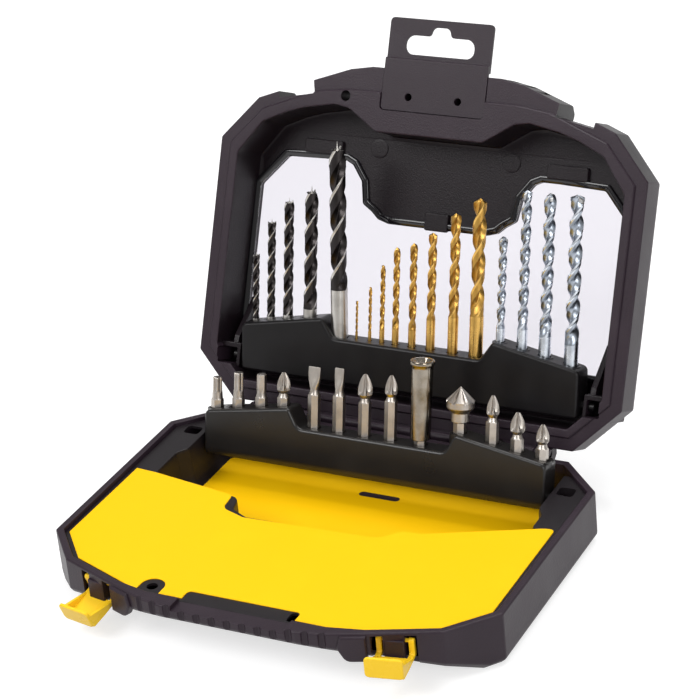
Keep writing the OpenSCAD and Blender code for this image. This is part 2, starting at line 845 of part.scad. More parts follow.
module metal_drill(i) color(gold_coat) twist_drill(metal[i], 0.14, 118);

module masonry_drill(i) {
    tool = masonry[i];
    body = [tool[0], tool[1], tool[2] - carbide_h];
    color(zinc_coat)
        difference() {
            twist_drill(body, 0.12, 150);
            carbide_plate(tool);
        }
}

// The carbide plate across the drill's end
module carbide_plate(tool) {
    r = tool[0] / 2;
    plate_t = 0.24 * tool[0];
    rack_frame(drill_plane)
        translate([tool[1], 0, drill_top(tool[1]) + tool[2] - carbide_h - 2])
            along_y(plate_t)
                polygon([
                    [-r, 0],
                    [r, 0],
                    [r, carbide_h + 1 - 0.3 * r],
                    [0, carbide_h + 2],
                    [-r, carbide_h + 1 - 0.3 * r]]);
}

module carbide_tip(i) color(steel) carbide_plate(masonry[i]);

module in_bit_rack(x, seat) rack_frame(-bit_plane) translate([x, 0, bit_top(x) - seat]) children();

// Shank and neck of a bit; the tip's children sit on the neck
module bit_blank(x, out, seat, neck_share) {
    body = seat + out * neck_share;
    in_bit_rack(x, seat) {
        hex_rod(hex_af, body);
        translate([0, 0, body - 0.01]) children();
    }
}

// A cross tip: a cone cut down to four ribs
module cross_tip(d, h)
    intersection() {
        cylinder(d1 = d, d2 = 0.3 * d, h = h, $fn = 32);
        linear_extrude(h) {
            square([d, 0.34 * d], center = true);
            square([0.34 * d, d], center = true);
        }
    }

module star_tip(d, h)
    linear_extrude(h)
        polygon([
            for (i = [0:11])
                let (a = 30 * i, r = (i % 2 == 0 ? 0.5 : 0.36) * d) [r * cos(a), r * sin(a)]]);

module necked(d, neck_h) {
    cylinder(d1 = hex_af, d2 = d, h = 1.5, $fn = 32);
    translate([0, 0, 1.4]) cylinder(d = d, h = neck_h - 1.4, $fn = 32);
    translate([0, 0, neck_h - 0.01]) children();
}

module cross_bit(x, out, seat) {
    body = 0.45;
    tip_h = 6;
    color(steel)
        bit_blank(x, out, seat, body)
            necked(bit_neck, out * (1 - body) - tip_h) cross_tip(bit_neck, tip_h);
}

module star_bit(x, out, d) {
    body = 0.5;
    tip_h = 4;
    color(steel)
        bit_blank(x, out, short_seat, body)
            necked(bit_neck, out * (1 - body) - tip_h) star_tip(d, tip_h);
}

module hex_bit()
    color(steel)
        bit_blank(short_bits[2][0], short_bits[2][1], short_seat, 0.5)
            necked(4.4, short_bits[2][1] * 0.5 - 5) hex_rod(4, 5);

// A slotted bit: the round neck is ground to a flat blade
module slot_bit(tool, blade_w, neck_d) {
    body = 0.42;
    rest = tool[1] * (1 - body);
    foot = 0.45 * neck_d;
    color(steel)
        bit_blank(tool[0], tool[1], long_seat, body) {
            cylinder(d1 = hex_af, d2 = neck_d, h = 2, $fn = 32);
            translate([0, 0, 1.9]) cylinder(d = neck_d, h = rest - 10, $fn = 32);
            translate([0, 0, rest - 9])
                intersection() {
                    along_y(neck_d)
                        polygon([[-foot, 0], [foot, 0], [blade_w / 2, 5], [blade_w / 2, 9],
                            [-blade_w / 2, 9], [-blade_w / 2, 5]]);
                    along_x(2 * blade_w)
                        polygon([[-foot, 0], [foot, 0], [0.5, 7], [0.5, 9], [-0.5, 9], [-0.5, 7]]);
                }
        }
}

// The magnetic bit holder: a tube with a flared mouth and a hex recess, on a hex shank
module holder_sleeve()
    color(zinc_coat)
        in_bit_rack(holder_x, long_seat)
            translate([0, 0, long_seat + 0.5])
                difference() {
                    union() {
                        cylinder(d = holder_d, h = holder_out - 6.5, $fn = 48);
                        translate([0, 0, holder_out - 6.5])
                            cylinder(d1 = holder_d, d2 = holder_mouth, h = 2, $fn = 48);
                        translate([0, 0, holder_out - 4.5]) cylinder(d = holder_mouth, h = 4, $fn = 48);
                    }
                    translate([0, 0, -1]) hex_rod(hex_af, holder_shank_up + 1);
                    translate([0, 0, holder_out - 0.5 - holder_recess])
                        hex_rod(hex_af + 0.2, holder_recess + 1);
                    translate([0, 0, holder_out - 0.5 - holder_recess - magnet_h])
                        cylinder(d = 5, h = magnet_h + 1, $fn = 32);
                }

module holder_shank()
    color(steel)
        in_bit_rack(holder_x, long_seat) hex_rod(hex_af, long_seat + 0.5 + holder_shank_up);

module holder_magnet()
    color(steel)
        in_bit_rack(holder_x, long_seat)
            translate([0, 0, long_seat + holder_out - holder_recess - magnet_h])
                cylinder(d = 5, h = magnet_h, $fn = 32);

// The countersink: hex shank, collar and a ground cone with three flutes
module countersink() {
    collar_h = 6;
    rim_h = 2.5;
    cone_h = sink_d / 2 - 0.6;
    stem = sink_out - collar_h - rim_h - cone_h;
    color(steel)
        in_bit_rack(sink_x, short_seat) {
            hex_rod(hex_af, short_seat + stem + 0.5);
            translate([0, 0, short_seat + stem]) {
                cylinder(d = 9, h = collar_h, $fn = 48);
                difference() {
                    translate([0, 0, collar_h]) {
                        cylinder(d = sink_d, h = rim_h, $fn = 48);
                        translate([0, 0, rim_h]) cylinder(d1 = sink_d, d2 = 1.2, h = cone_h, $fn = 48);
                    }
                    for (i = [0:2])
                        rotate([0, 0, 120 * i + 20])
                            translate([1.2, 0, collar_h - 1]) cube([sink_d, 2.4, rim_h + cone_h + 2]);
                }
            }
        }
}

base_shell();
tray_insert();
tray_card();
floor_card();
hinge_pins();
lid_shell();
lid_window();
hanger_tab();
drill_rack();
bit_rack();
latch_left();
latch_right();
wood_drill(0);  // wood_drill_4
wood_drill(1);  // wood_drill_5
wood_drill(2);  // wood_drill_6
wood_drill(3);  // wood_drill_8
wood_drill(4);  // wood_drill_10
metal_drill(0);  // metal_drill_1_5
metal_drill(1);  // metal_drill_2
metal_drill(2);  // metal_drill_3
metal_drill(3);  // metal_drill_4
metal_drill(4);  // metal_drill_4_5
metal_drill(5);  // metal_drill_5
metal_drill(6);  // metal_drill_6
metal_drill(7);  // metal_drill_8
masonry_drill(0);  // masonry_drill_5
masonry_drill(1);  // masonry_drill_6
masonry_drill(2);  // masonry_drill_7
masonry_drill(3);  // masonry_drill_8
carbide_tip(0);  // carbide_tip_5
carbide_tip(1);  // carbide_tip_6
carbide_tip(2);  // carbide_tip_7
carbide_tip(3);  // carbide_tip_8
star_bit(short_bits[0][0], short_bits[0][1], 4.4);  // star_bit_1
star_bit(short_bits[1][0], short_bits[1][1], 4);  // star_bit_2
hex_bit();
cross_bit(short_bits[3][0], short_bits[3][1], short_seat);  // cross_bit_short_1
slot_bit(long_bits[0], 6.2, 5.6);  // slot_bit_wide
slot_bit(long_bits[1], 5.2, 5);  // slot_bit_narrow
cross_bit(long_bits[2][0], long_bits[2][1], long_seat);  // cross_bit_long_1
cross_bit(long_bits[3][0], long_bits[3][1], long_seat);  // cross_bit_long_2
cross_bit(short_bits[4][0], short_bits[4][1], short_seat);  // cross_bit_short_2
cross_bit(short_bits[5][0], short_bits[5][1], short_seat);  // cross_bit_short_3
cross_bit(short_bits[6][0], short_bits[6][1], short_seat);  // cross_bit_short_4
holder_sleeve();
holder_shank();
holder_magnet();
countersink();
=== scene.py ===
import math

import bmesh
import bpy
from mathutils import Matrix, Vector
from mathutils.geometry import tessellate_polygon


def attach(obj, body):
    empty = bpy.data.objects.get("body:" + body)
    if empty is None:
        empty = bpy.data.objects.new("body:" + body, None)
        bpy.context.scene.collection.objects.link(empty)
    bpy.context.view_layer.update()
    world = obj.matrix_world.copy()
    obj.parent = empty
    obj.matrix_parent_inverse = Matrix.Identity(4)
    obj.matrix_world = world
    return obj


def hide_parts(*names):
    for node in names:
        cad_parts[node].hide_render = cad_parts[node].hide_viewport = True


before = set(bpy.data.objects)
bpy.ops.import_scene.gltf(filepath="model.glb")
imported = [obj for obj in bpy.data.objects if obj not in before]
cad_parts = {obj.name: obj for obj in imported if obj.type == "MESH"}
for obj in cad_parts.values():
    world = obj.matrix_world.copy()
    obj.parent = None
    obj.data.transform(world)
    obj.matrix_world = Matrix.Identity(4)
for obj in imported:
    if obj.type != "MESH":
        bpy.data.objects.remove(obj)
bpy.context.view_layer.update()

scene = bpy.context.scene
mm = 0.001
beyond = 60  # how far a cutter runs on past what it cuts

# Places that the pieces share, in millimetres and degrees
case = {
    "halfWidth": 134, "depth": 205.5, "baseHeight": 31, "lidHeight": 28, "hingeY": 85.25,
    "lidLean": 25.3, "rackLean": 14, "drillPlane": 16, "bitPlane": -28.5,
    "wall": 2.4, "rimWidth": 4.3, "lipInset": 7, "lipRise": 1.5,
    "handleRim": 12.5, "flatFront": 163, "handleFace": 7.5, "edgeRadius": 2.2, "leastRadius": 0.8,
    "half": [(108, 3.5), (134, 29.5), (134, 156.5), (112, 181.5), (75, 195.5), (54, 203), (40, 205.5)],
    "handleFall": {"from": 40, "bend": 54, "first": 0.18, "second": 0.357},
    "bevelFade": {"from": 150, "over": 40},
    "hinge": {"x": 76, "radius": 3.1},
    "latch": {"x": 87.5, "b": 187, "drop": 5.8, "slant": 10.5, "reach": 22.4,
              "roomHalf": 11.75, "roomBack": -2.2, "roomCover": 1.6,
              "bossHalf": 5.4, "bossFront": 4.4, "plateTop": -7.5},
    "tieHole": (-54.6, 187.4), "tieRadius": 3.1,
    "rivet": {"x": 15.5, "b": 190, "radius": 2.2},
}
undersideSlope = (case["baseHeight"] - case["handleFace"]) / (case["depth"] - case["flatFront"])


# Local frames: base and lid pieces use x, distance in front of the hinge, height over the rim
def turn(degrees, axis):
    return Matrix.Rotation(math.radians(degrees), 4, axis)


def mirrored(side):
    return Matrix.Diagonal((side, 1, 1, 1))


toMetres = Matrix.Scale(mm, 4)
atHinge = Matrix.Translation((0, case["hingeY"], case["baseHeight"]))
baseFrame = toMetres @ atHinge @ Matrix.Diagonal((1, -1, 1, 1))
lidFrame = toMetres @ atHinge @ turn(90 - case["lidLean"], "X")
# an outline of (forward, up) points that is pushed out sideways, and one that faces the front
pushedAcross = Matrix(((0, 0, 1, 0), (1, 0, 0, 0), (0, 1, 0, 0), (0, 0, 0, 1)))
facingFront = Matrix(((-1, 0, 0, 0), (0, 0, 1, 0), (0, 1, 0, 0), (0, 0, 0, 1)))


def rackFrame(plane):
    return toMetres @ atHinge @ Matrix.Translation((0, plane, 0)) @ turn(-case["rackLean"], "X")


def latchPlace(side, level):
    latch = case["latch"]
    return mirrored(side) @ Matrix.Translation((latch["x"], latch["b"], level)) @ turn(-latch["slant"], "Z")


def latchPivot(side):
    return latchPlace(side, -case["latch"]["drop"])


# Outlines
def bothSides(half):
    return list(half) + [(-x, y) for x, y in reversed(half)]


def cornerAt(points, i):
    # a corner, the one before it and the one after it
    return (Vector(points[k % len(points)][:2]) for k in (i, i - 1, i + 1))


def drawnIn(points, inset):
    # every side moves in by the same distance, for outlines that run anticlockwise
    moved = []
    for i in range(len(points)):
        here, before, after = cornerAt(points, i)
        one, two = (here - before).normalized(), (after - here).normalized()
        lean = max(1 + one.dot(two), 0.2)  # kept off zero where the outline doubles back
        moved.append((here.x + inset * (-one.y - two.y) / lean, here.y + inset * (one.x + two.x) / lean))
    return moved


def roundCorners(points, radius, steps=5):
    most = 0.48  # share of a side that one corner may take up
    near = 0.02  # angle and length that count as next to nothing
    result = []
    for i in range(len(points)):
        here, before, after = cornerAt(points, i)
        size = radius[i] if isinstance(radius, (list, tuple)) else radius
        if size <= 0:
            result.append(tuple(here))
            continue
        back, ahead = before - here, after - here
        toBack, toAhead = back.normalized(), ahead.normalized()
        angle = back.angle(ahead)
        if angle > math.pi - near:
            # no corner to round, but the number of points stays the same
            result += [tuple(here + toBack * near * (1 - k / steps) + toAhead * near * k / steps)
                       for k in range(steps + 1)]
            continue
        reach = min(size / math.tan(angle / 2), most * back.length, most * ahead.length)
        start, end = here + toBack * reach, here + toAhead * reach
        bend = reach * math.tan(angle / 2)
        middle = here + (toBack + toAhead).normalized() * bend / math.sin(angle / 2)
        first, last = start - middle, end - middle
        swing = first.angle_signed(last)
        for k in range(steps + 1):
            a = -swing * k / steps
            result.append((middle.x + first.x * math.cos(a) - first.y * math.sin(a),
                           middle.y + first.x * math.sin(a) + first.y * math.cos(a)))
    return result


def caseOutline(inset):
    # one row of matching points for every inset
    size = max(case["edgeRadius"] - inset, case["leastRadius"])
    return roundCorners(drawnIn(bothSides(case["half"]), inset), size, 4)


def pointsApart(points, least):
    # drops every point that lies too close to the one before it
    kept = []
    for p in points:
        if not kept or math.dist(p, kept[-1]) > least:
            kept.append(p)
    return kept


def blend(a, b, share):
    return a + (b - a) * max(0, min(1, share))


def anglesRound(count):
    return [2 * math.pi * k / count for k in range(count)]


def roundOver(size, steps):
    # a rounded edge as steps: how far each is drawn in, and how far it lies from the flat end
    if not size:
        return [(0, 0)]
    angles = [math.pi / 2 * k / steps for k in range(steps + 1)]
    return [(size * (1 - math.cos(a)), size * (1 - math.sin(a))) for a in angles]


def rounded(points, radius=0, steps=4):
    # an outline as a function of how far it is drawn in, with the same points each time
    count = len(points)
    sizes = list(radius) if isinstance(radius, (list, tuple)) else [radius] * count
    area = sum(points[i - 1][0] * points[i][1] - points[i][0] * points[i - 1][1] for i in range(count))
    if area < 0:
        points, sizes = points[::-1], sizes[::-1]
    ways = []
    for i in range(count):
        here, before, after = cornerAt(points, i)
        ways.append(1 if (here - before).cross(after - here) > 0 else -1)

    def at(inset):
        now = [0 if r <= 0 else max(r - inset * way, 0.05) for r, way in zip(sizes, ways)]
        return roundCorners(drawnIn(points, inset), now, steps)

    return at


def plain(points):
    return lambda inset: drawnIn(points, inset)


def box(x0, y0, x1, y1, radius=0, steps=4):
    x0, x1 = sorted((x0, x1))
    return rounded([(x0, y0), (x1, y0), (x1, y1), (x0, y1)], radius, steps)


def disc(x, y, radius, count=32):
    def at(inset):
        size = radius - inset
        return [(x + size * math.cos(a), y + size * math.sin(a)) for a in anglesRound(count)]

    return at


# Mesh building
def addRing(bm, points):
    return [bm.verts.new(p) for p in points]


def addFace(bm, corners, finish=0):
    face = bm.faces.new(corners)
    face.material_index = finish


def joinRings(bm, first, second, closed=True, finish=0):
    count = len(first)
    for i in range(count if closed else count - 1):
        j = (i + 1) % count
        addFace(bm, (first[i], first[j], second[j], second[i]), finish)


def stackRings(bm, rows, closed=True):
    rings = [addRing(bm, row) for row in rows]
    for one, two in zip(rings, rings[1:]):
        joinRings(bm, one, two, closed)
    return rings


def pairCap(bm, ring):
    # fills a left-right symmetrical ring with rows of flat faces
    count = len(ring)
    for i in range(count // 2 - 1):
        addFace(bm, (ring[i], ring[i + 1], ring[count - 2 - i], ring[count - 1 - i]))


def fillFlat(bm, rings, finish=0):
    everything = [v for ring in rings for v in ring]
    for a, b, c in tessellate_polygon([[v.co for v in ring] for ring in rings]):
        addFace(bm, (everything[a], everything[b], everything[c]), finish)


def fillUpright(bm, ring):
    # fills a ring by its x and z alone
    for a, b, c in tessellate_polygon([[Vector((v.co.x, v.co.z, 0)) for v in ring]]):
        addFace(bm, (ring[a], ring[b], ring[c]))


def closedStack(bm, rows):
    # a solid through rows of matching points, with both ends filled
    rings = stackRings(bm, rows)
    fillFlat(bm, [rings[0]])
    fillFlat(bm, [rings[-1]])


def softPrism(bm, shape, low, high, lowRound=0, highRound=0, steps=3):
    # a plate or block whose two flat ends have rounded edges
    lower = [[(x, y, low + up) for x, y in shape(inset)] for inset, up in roundOver(lowRound, steps)]
    upper = [[(x, y, high - down) for x, y in shape(inset)] for inset, down in roundOver(highRound, steps)]
    closedStack(bm, lower[::-1] + upper)


def latheAbout(bm, profile, place, count=32):
    # profile holds (radius, height) from one end to the other
    closedStack(bm, [[place @ Vector((r * math.cos(a), r * math.sin(a), h)) for a in anglesRound(count)]
                     for r, h in profile])


def meshObject(name, bm, place):
    bm.transform(place)
    bmesh.ops.remove_doubles(bm, verts=bm.verts, dist=2e-7)
    bmesh.ops.recalc_face_normals(bm, faces=bm.faces)
    mesh = bpy.data.meshes.new(name)
    bm.to_mesh(mesh)
    bm.free()
    piece = bpy.data.objects.new(name, mesh)
    scene.collection.objects.link(piece)
    return piece


def cutWith(piece, cutter, operation="DIFFERENCE"):
    # works the cutter into the piece for good, and removes the cutter
    step = piece.modifiers.new("cut", "BOOLEAN")
    step.object, step.operation, step.solver = cutter, operation, "EXACT"
    bpy.context.view_layer.update()
    shaped = piece.evaluated_get(bpy.context.evaluated_depsgraph_get())
    mesh = bpy.data.meshes.new_from_object(shaped)
    piece.modifiers.clear()
    old, piece.data = piece.data, mesh
    bpy.data.meshes.remove(old)
    bpy.data.objects.remove(cutter)


def addTo(piece, bm, place):
    # lays a further closed shape into the piece's own mesh
    bm.transform(place)
    bmesh.ops.recalc_face_normals(bm, faces=bm.faces)
    bm.from_mesh(piece.data)
    bm.to_mesh(piece.data)
    bm.free()


def newPrism(name, place, shape, low, high, lowRound=0, highRound=0, steps=3):
    bm = bmesh.new()
    softPrism(bm, shape, low, high, lowRound, highRound, steps)
    return meshObject(name, bm, place)


def layPrism(piece, place, shape, low, high, lowRound=0, highRound=0, steps=3):
    bm = bmesh.new()
    softPrism(bm, shape, low, high, lowRound, highRound, steps)
    addTo(piece, bm, place)


def boxCutter(name, place, extent, radius=0):
    # extent holds the lower and the upper corner
    (x0, y0, z0), (x1, y1, z1) = extent
    return newPrism(name, place, box(x0, y0, x1, y1, radius), z0, z1)


def dress(piece, body, materials, nodes=(), bevel=0, angle=35):
    # finishes and soft normals, then the body that the piece belongs to; the nodes it stands for are hidden
    for material in materials:
        piece.data.materials.append(material)
    if bevel:
        edge = piece.modifiers.new("softEdges", "BEVEL")
        edge.width, edge.segments, edge.limit_method = bevel * mm, 2, "ANGLE"
        edge.angle_limit, edge.use_clamp_overlap, edge.harden_normals = math.radians(40), True, False
    piece.data.shade_smooth()
    piece.data.set_sharp_from_angle(angle=math.radians(angle))
    even = piece.modifiers.new("evenNormals", "WEIGHTED_NORMAL")
    even.keep_sharp, even.weight = True, 60
    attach(piece, body)
    if nodes:
        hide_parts(*nodes)


print("stage: helpers ready")


# Shared effects, each a group of shader nodes
def newGroup(name, inputs, outputs):
    group = bpy.data.node_groups.new(name, "ShaderNodeTree")
    for label, kind, value in inputs:
        socket = group.interface.new_socket(label, in_out="INPUT", socket_type=kind)
        socket.default_value = value
    for label, kind in outputs:
        group.interface.new_socket(label, in_out="OUTPUT", socket_type=kind)
    return group, group.nodes.new("NodeGroupInput"), group.nodes.new("NodeGroupOutput")


def addNode(tree, kind, settings=None, **inputs):
    node = tree.nodes.new(kind)
    for key, value in (settings or {}).items():
        setattr(node, key, value)
    for key, value in inputs.items():
        socket = node.inputs[int(key[1:])] if key[0] == "_" else node.inputs[key]
        if isinstance(value, bpy.types.NodeSocket):
            tree.links.new(value, socket)
        else:
            socket.default_value = value
    return node


def mathOn(tree, operation, *values):
    inputs = {"_%d" % i: value for i, value in enumerate(values)}
    return addNode(tree, "ShaderNodeMath", {"operation": operation}, **inputs).outputs[0]


def remap(tree, value, fromLow, fromHigh, toLow, toHigh):
    return addNode(tree, "ShaderNodeMapRange", None, _0=value, _1=fromLow, _2=fromHigh,
                   _3=toLow, _4=toHigh).outputs[0]


def mixColours(tree, share, first, second):
    # sockets 0, 6 and 7 are a Mix node's factor and its two colours, and output 2 is the colour
    return addNode(tree, "ShaderNodeMix", {"data_type": "RGBA"}, _0=share, _6=first, _7=second).outputs[2]


surfaceOutputs = [("Colour", "NodeSocketColor"), ("Roughness", "NodeSocketFloat"),
                  ("Height", "NodeSocketFloat")]
grain = {"fine": 900.0, "fineShare": 0.25, "cloud": 38.0, "cloudSpread": 0.16, "rub": (0.5, 0.8, 0.0, 0.5)}
ground = {"marks": 140.0, "markShare": (0.45, 0.75, 0.0, 0.7)}


def makeMouldedGrain():
    # spark-eroded mould texture: fine pits on a soft unevenness
    group, start, end = newGroup("mouldedGrain", [
        ("Scale", "NodeSocketFloat", 1400.0), ("Pits", "NodeSocketFloat", 1.0),
        ("Roughness", "NodeSocketFloat", 0.45), ("Colour", "NodeSocketColor", (0.02, 0.019, 0.02, 1)),
        ("Worn Colour", "NodeSocketColor", (0.05, 0.047, 0.05, 1))], surfaceOutputs)
    given = start.outputs
    where = addNode(group, "ShaderNodeTexCoord").outputs["Object"]
    pits = addNode(group, "ShaderNodeTexVoronoi", {"feature": "SMOOTH_F1"},
                   Vector=where, Scale=given["Scale"], Smoothness=0.4)
    fine = addNode(group, "ShaderNodeTexNoise", None, Vector=where, Scale=grain["fine"], Detail=3.0)
    cloud = addNode(group, "ShaderNodeTexNoise", None, Vector=where, Scale=grain["cloud"], Detail=4.0)
    spread = grain["cloudSpread"]
    height = mathOn(group, "MULTIPLY", pits.outputs["Distance"], given["Pits"])
    fineHeight = mathOn(group, "MULTIPLY", fine.outputs["Fac"], grain["fineShare"])
    uneven = mathOn(group, "MULTIPLY_ADD", cloud.outputs["Fac"], spread, -spread / 2)
    rub = remap(group, cloud.outputs["Fac"], *grain["rub"])
    colour = mixColours(group, rub, given["Colour"], given["Worn Colour"])
    group.links.new(colour, end.inputs["Colour"])
    group.links.new(mathOn(group, "ADD", given["Roughness"], uneven), end.inputs["Roughness"])
    group.links.new(mathOn(group, "ADD", height, fineHeight), end.inputs["Height"])
    return group


def makeGroundMetal():
    # fine lines of a ground or drawn surface, with darker handling marks
    group, start, end = newGroup("groundMetal", [
        ("Line Scale", "NodeSocketFloat", 900.0), ("Stretch", "NodeSocketVector", (1.0, 1.0, 0.06)),
        ("Roughness", "NodeSocketFloat", 0.25), ("Spread", "NodeSocketFloat", 0.18),
        ("Colour", "NodeSocketColor", (0.6, 0.58, 0.55, 1)),
        ("Mark Colour", "NodeSocketColor", (0.3, 0.28, 0.26, 1))], surfaceOutputs)
    given = start.outputs
    where = addNode(group, "ShaderNodeTexCoord").outputs["Object"]
    stretched = addNode(group, "ShaderNodeVectorMath", {"operation": "MULTIPLY"},
                        _0=where, _1=given["Stretch"])
    lines = addNode(group, "ShaderNodeTexNoise", None, Vector=stretched.outputs[0],
                    Scale=given["Line Scale"], Detail=2.0)
    marks = addNode(group, "ShaderNodeTexNoise", None, Vector=where, Scale=ground["marks"], Detail=4.0)
    rough = mathOn(group, "MULTIPLY_ADD", marks.outputs["Fac"], given["Spread"], given["Roughness"])
    share = remap(group, marks.outputs["Fac"], *ground["markShare"])
    colour = mixColours(group, share, given["Colour"], given["Mark Colour"])
    group.links.new(colour, end.inputs["Colour"])
    group.links.new(rough, end.inputs["Roughness"])
    group.links.new(lines.outputs["Fac"], end.inputs["Height"])
    return group


mouldedGrain = makeMouldedGrain()
groundMetal = makeGroundMetal()


def surface(name, settings):
    # a new material with its shader, ready for a group
    material = bpy.data.materials.new(name)
    material.use_nodes = True
    shader = material.node_tree.nodes["Principled BSDF"]
    for key, value in settings.items():
        shader.inputs[key].default_value = value
    return material, material.node_tree, shader


def useGroup(tree, shader, group, values, bump, depth):
    node = tree.nodes.new("ShaderNodeGroup")
    node.node_tree = group
    for key, value in values.items():
        node.inputs[key].default_value = value
    tree.links.new(node.outputs["Colour"], shader.inputs["Base Color"])
    tree.links.new(node.outputs["Roughness"], shader.inputs["Roughness"])
    raised = addNode(tree, "ShaderNodeBump", None, Strength=bump, Distance=depth,
                     Height=node.outputs["Height"])
    tree.links.new(raised.outputs["Normal"], shader.inputs["Normal"])


def plastic(name, colour, worn, roughness, scale, pits, bump, depth=0.00012, shine=0.26, coat=0.0):
    material, tree, shader = surface(name, {"IOR": 1.5, "Specular IOR Level": shine, "Coat Weight": coat})
    useGroup(tree, shader, mouldedGrain, {
        "Scale": scale, "Pits": pits, "Roughness": roughness,
        "Colour": (*colour, 1), "Worn Colour": (*worn, 1)}, bump, depth)
    return material


def metal(name, colour, marks, roughness, spread=0.18, bump=0.25, scale=900.0, stretch=(1, 1, 0.06),
          depth=0.00004):
    material, tree, shader = surface(name, {"Metallic": 1.0})
    useGroup(tree, shader, groundMetal, {
        "Line Scale": scale, "Stretch": stretch, "Roughness": roughness, "Spread": spread,
        "Colour": (*colour, 1), "Mark Colour": (*marks, 1)}, bump, depth)
    return material


# Plastics: colour, colour where worn, roughness and relief. Metals: colour, colour of the marks,
# roughness and its spread, and the lines' relief, scale and stretch.
finishes = {
    "caseBlack": plastic("caseBlackPlastic", (0.0235, 0.0142, 0.0215), (0.039, 0.026, 0.036),
                         0.42, scale=1150, pits=1.0, bump=0.4, depth=0.00015),
    # painted shade: a darker copy of the case plastic for the lid's hollow and its grip
    "lidPaintedShade": plastic("lidPaintedShadePlastic", (0.0105, 0.0068, 0.0092), (0.018, 0.0125, 0.016),
                         0.36, scale=1150, pits=0.9, bump=0.4, depth=0.00015, shine=0.2),
    "insertBlack": plastic("insertBlackPlastic", (0.0125, 0.0098, 0.0115), (0.02, 0.017, 0.019),
                           0.36, scale=1900, pits=0.8, bump=0.3),
    "rackBlack": plastic("rackBlackPlastic", (0.0055, 0.0047, 0.0054), (0.011, 0.0095, 0.0105),
                         0.33, scale=2400, pits=0.5, bump=0.2),
    "bitRackBlack": plastic("bitRackPlastic", (0.0095, 0.0083, 0.008), (0.017, 0.015, 0.0145),
                            0.3, scale=2400, pits=0.5, bump=0.2, shine=0.46),
    "tabBlack": plastic("tabBlackPlastic", (0.0225, 0.014, 0.0205), (0.03, 0.024, 0.028),
                        0.4, scale=1500, pits=0.9, bump=0.3),
    "ringBlack": plastic("windowRingPlastic", (0.006, 0.005, 0.007), (0.012, 0.01, 0.014),
                         0.16, scale=2000, pits=0.2, bump=0.1, coat=0.6),
    "latchYellow": plastic("latchYellowPlastic", (0.94, 0.6, 0.02), (0.95, 0.63, 0.03),
                           0.28, scale=1200, pits=0.3, bump=0.1),
    "cardYellow": plastic("cardYellow", (0.95, 0.54, 0.0012), (0.96, 0.57, 0.003),
                          0.5, scale=3000, pits=0.15, bump=0.12, shine=0.12),
    "pinSteel": metal("pinSteel", (0.55, 0.54, 0.53), (0.35, 0.34, 0.33), 0.28, stretch=(0.06, 1, 1)),
    "bitNickel": metal("satinNickel", (0.5, 0.46, 0.42), (0.3, 0.27, 0.24), 0.25, 0.2, 0.4),
    "chrome": metal("holderChrome", (0.3, 0.265, 0.22), (0.15, 0.11, 0.055), 0.12, 0.16, 0.2),
    "magnet": metal("magnetGrey", (0.25, 0.25, 0.26), (0.15, 0.15, 0.15), 0.4),
    "goldCoat": metal("goldCoating", (0.72, 0.44, 0.12), (0.42, 0.23, 0.05), 0.2, 0.16, 0.3),
    # painted shade: the gold coating darkened for the flutes and lands
    "goldShadedFlute": metal("goldShadedFlute", (0.52, 0.3, 0.07), (0.24, 0.13, 0.03), 0.28, 0.2, 0.4),
    "zinc": metal("zincCoating", (0.72, 0.76, 0.82), (0.3, 0.34, 0.4), 0.14, 0.25, 0.6, 500.0, (1, 1, 0.5)),
    # painted shade: the zinc coating darkened for the flutes and lands
    "zincShadedFlute": metal("zincShadedFlute", (0.4, 0.44, 0.5), (0.12, 0.14, 0.17), 0.2, 0.25, 0.8, 420.0,
                       (1, 1, 0.6)),
    "carbide": metal("carbideGrey", (0.5, 0.5, 0.5), (0.32, 0.32, 0.33), 0.3),
    "brightSteel": metal("brightSteel", (0.55, 0.53, 0.5), (0.3, 0.28, 0.26), 0.22),
    "fluteBlack": metal("blackedFlute", (0.045, 0.04, 0.04), (0.02, 0.018, 0.018), 0.26, 0.2),
}
pane = {"colour": (0.7, 0.683, 0.728, 1), "roughness": 0.03, "bending": 1.12, "wave": 22.0,
        "haze": (0.3, 0.8, 0.02, 0.07)}


def makeWindowPlastic():
    material, tree, shader = surface("clearWindow", {
        "Base Color": pane["colour"], "Roughness": pane["roughness"], "IOR": pane["bending"],
        "Transmission Weight": 1.0})
    where = addNode(tree, "ShaderNodeTexCoord").outputs["Object"]
    wave = addNode(tree, "ShaderNodeTexNoise", None, Vector=where, Scale=pane["wave"], Detail=2.0)
    tree.links.new(remap(tree, wave.outputs["Fac"], *pane["haze"]), shader.inputs["Roughness"])
    return material


finishes["window"] = makeWindowPlastic()
print("stage: materials ready")


# Base shell: the outline's rings run from the underside, over the rim and down to the inner floor
baseShell = {
    "bevel": [(6, 0), (4.4, 0.1), (3.4, 0.7), (0.8, 3.3), (0.15, 4.4), (0, 6)],
    "frontBevel": 0.3, "rimEdge": 1.1, "innerEdge": 0.6, "flange": 6, "floorShare": 1.14, "floorRound": 3,
    "ribs": {"pitch": 9, "width": 3.8, "depth": 1.8, "flare": 0.9, "slant": 0.3, "base": 13, "lid": 15},
    "bay": {"half": 33.5, "back": 185.5, "drop": 2.5},
    "block": {"half": 5.4, "back": -3.2, "front": 4.4, "low": -9.5, "high": 1.6},
    "boss": {"x": 62.5, "swing": 19.65, "radii": [0.8, 3, 5, 0.8, 0.5], "back": -1.8, "front": 2.6,
             "outline": [(0, -1.1), (-2, -8), (2.2, -16.2), (13.6, -16.2), (13.6, -1.1)]},
    "knuckle": {"apart": 14.8, "half": 4.5,
                "toe": [(-9, -4), (4.5, -14), (4.5, -0.3), (0, -0.3), (-3.2, 2.03), (-9, -0.71)]},
}


def undersideAt(b):
    return -case["baseHeight"] + undersideSlope * max(0, b - case["flatFront"])


def openFront(points, inset):
    # the rim is wider at the handle, so what lies inside it stops sooner
    limit = case["depth"] - case["handleRim"] + case["lipInset"] - inset
    return [(x, min(b, limit)) for x, b in points]


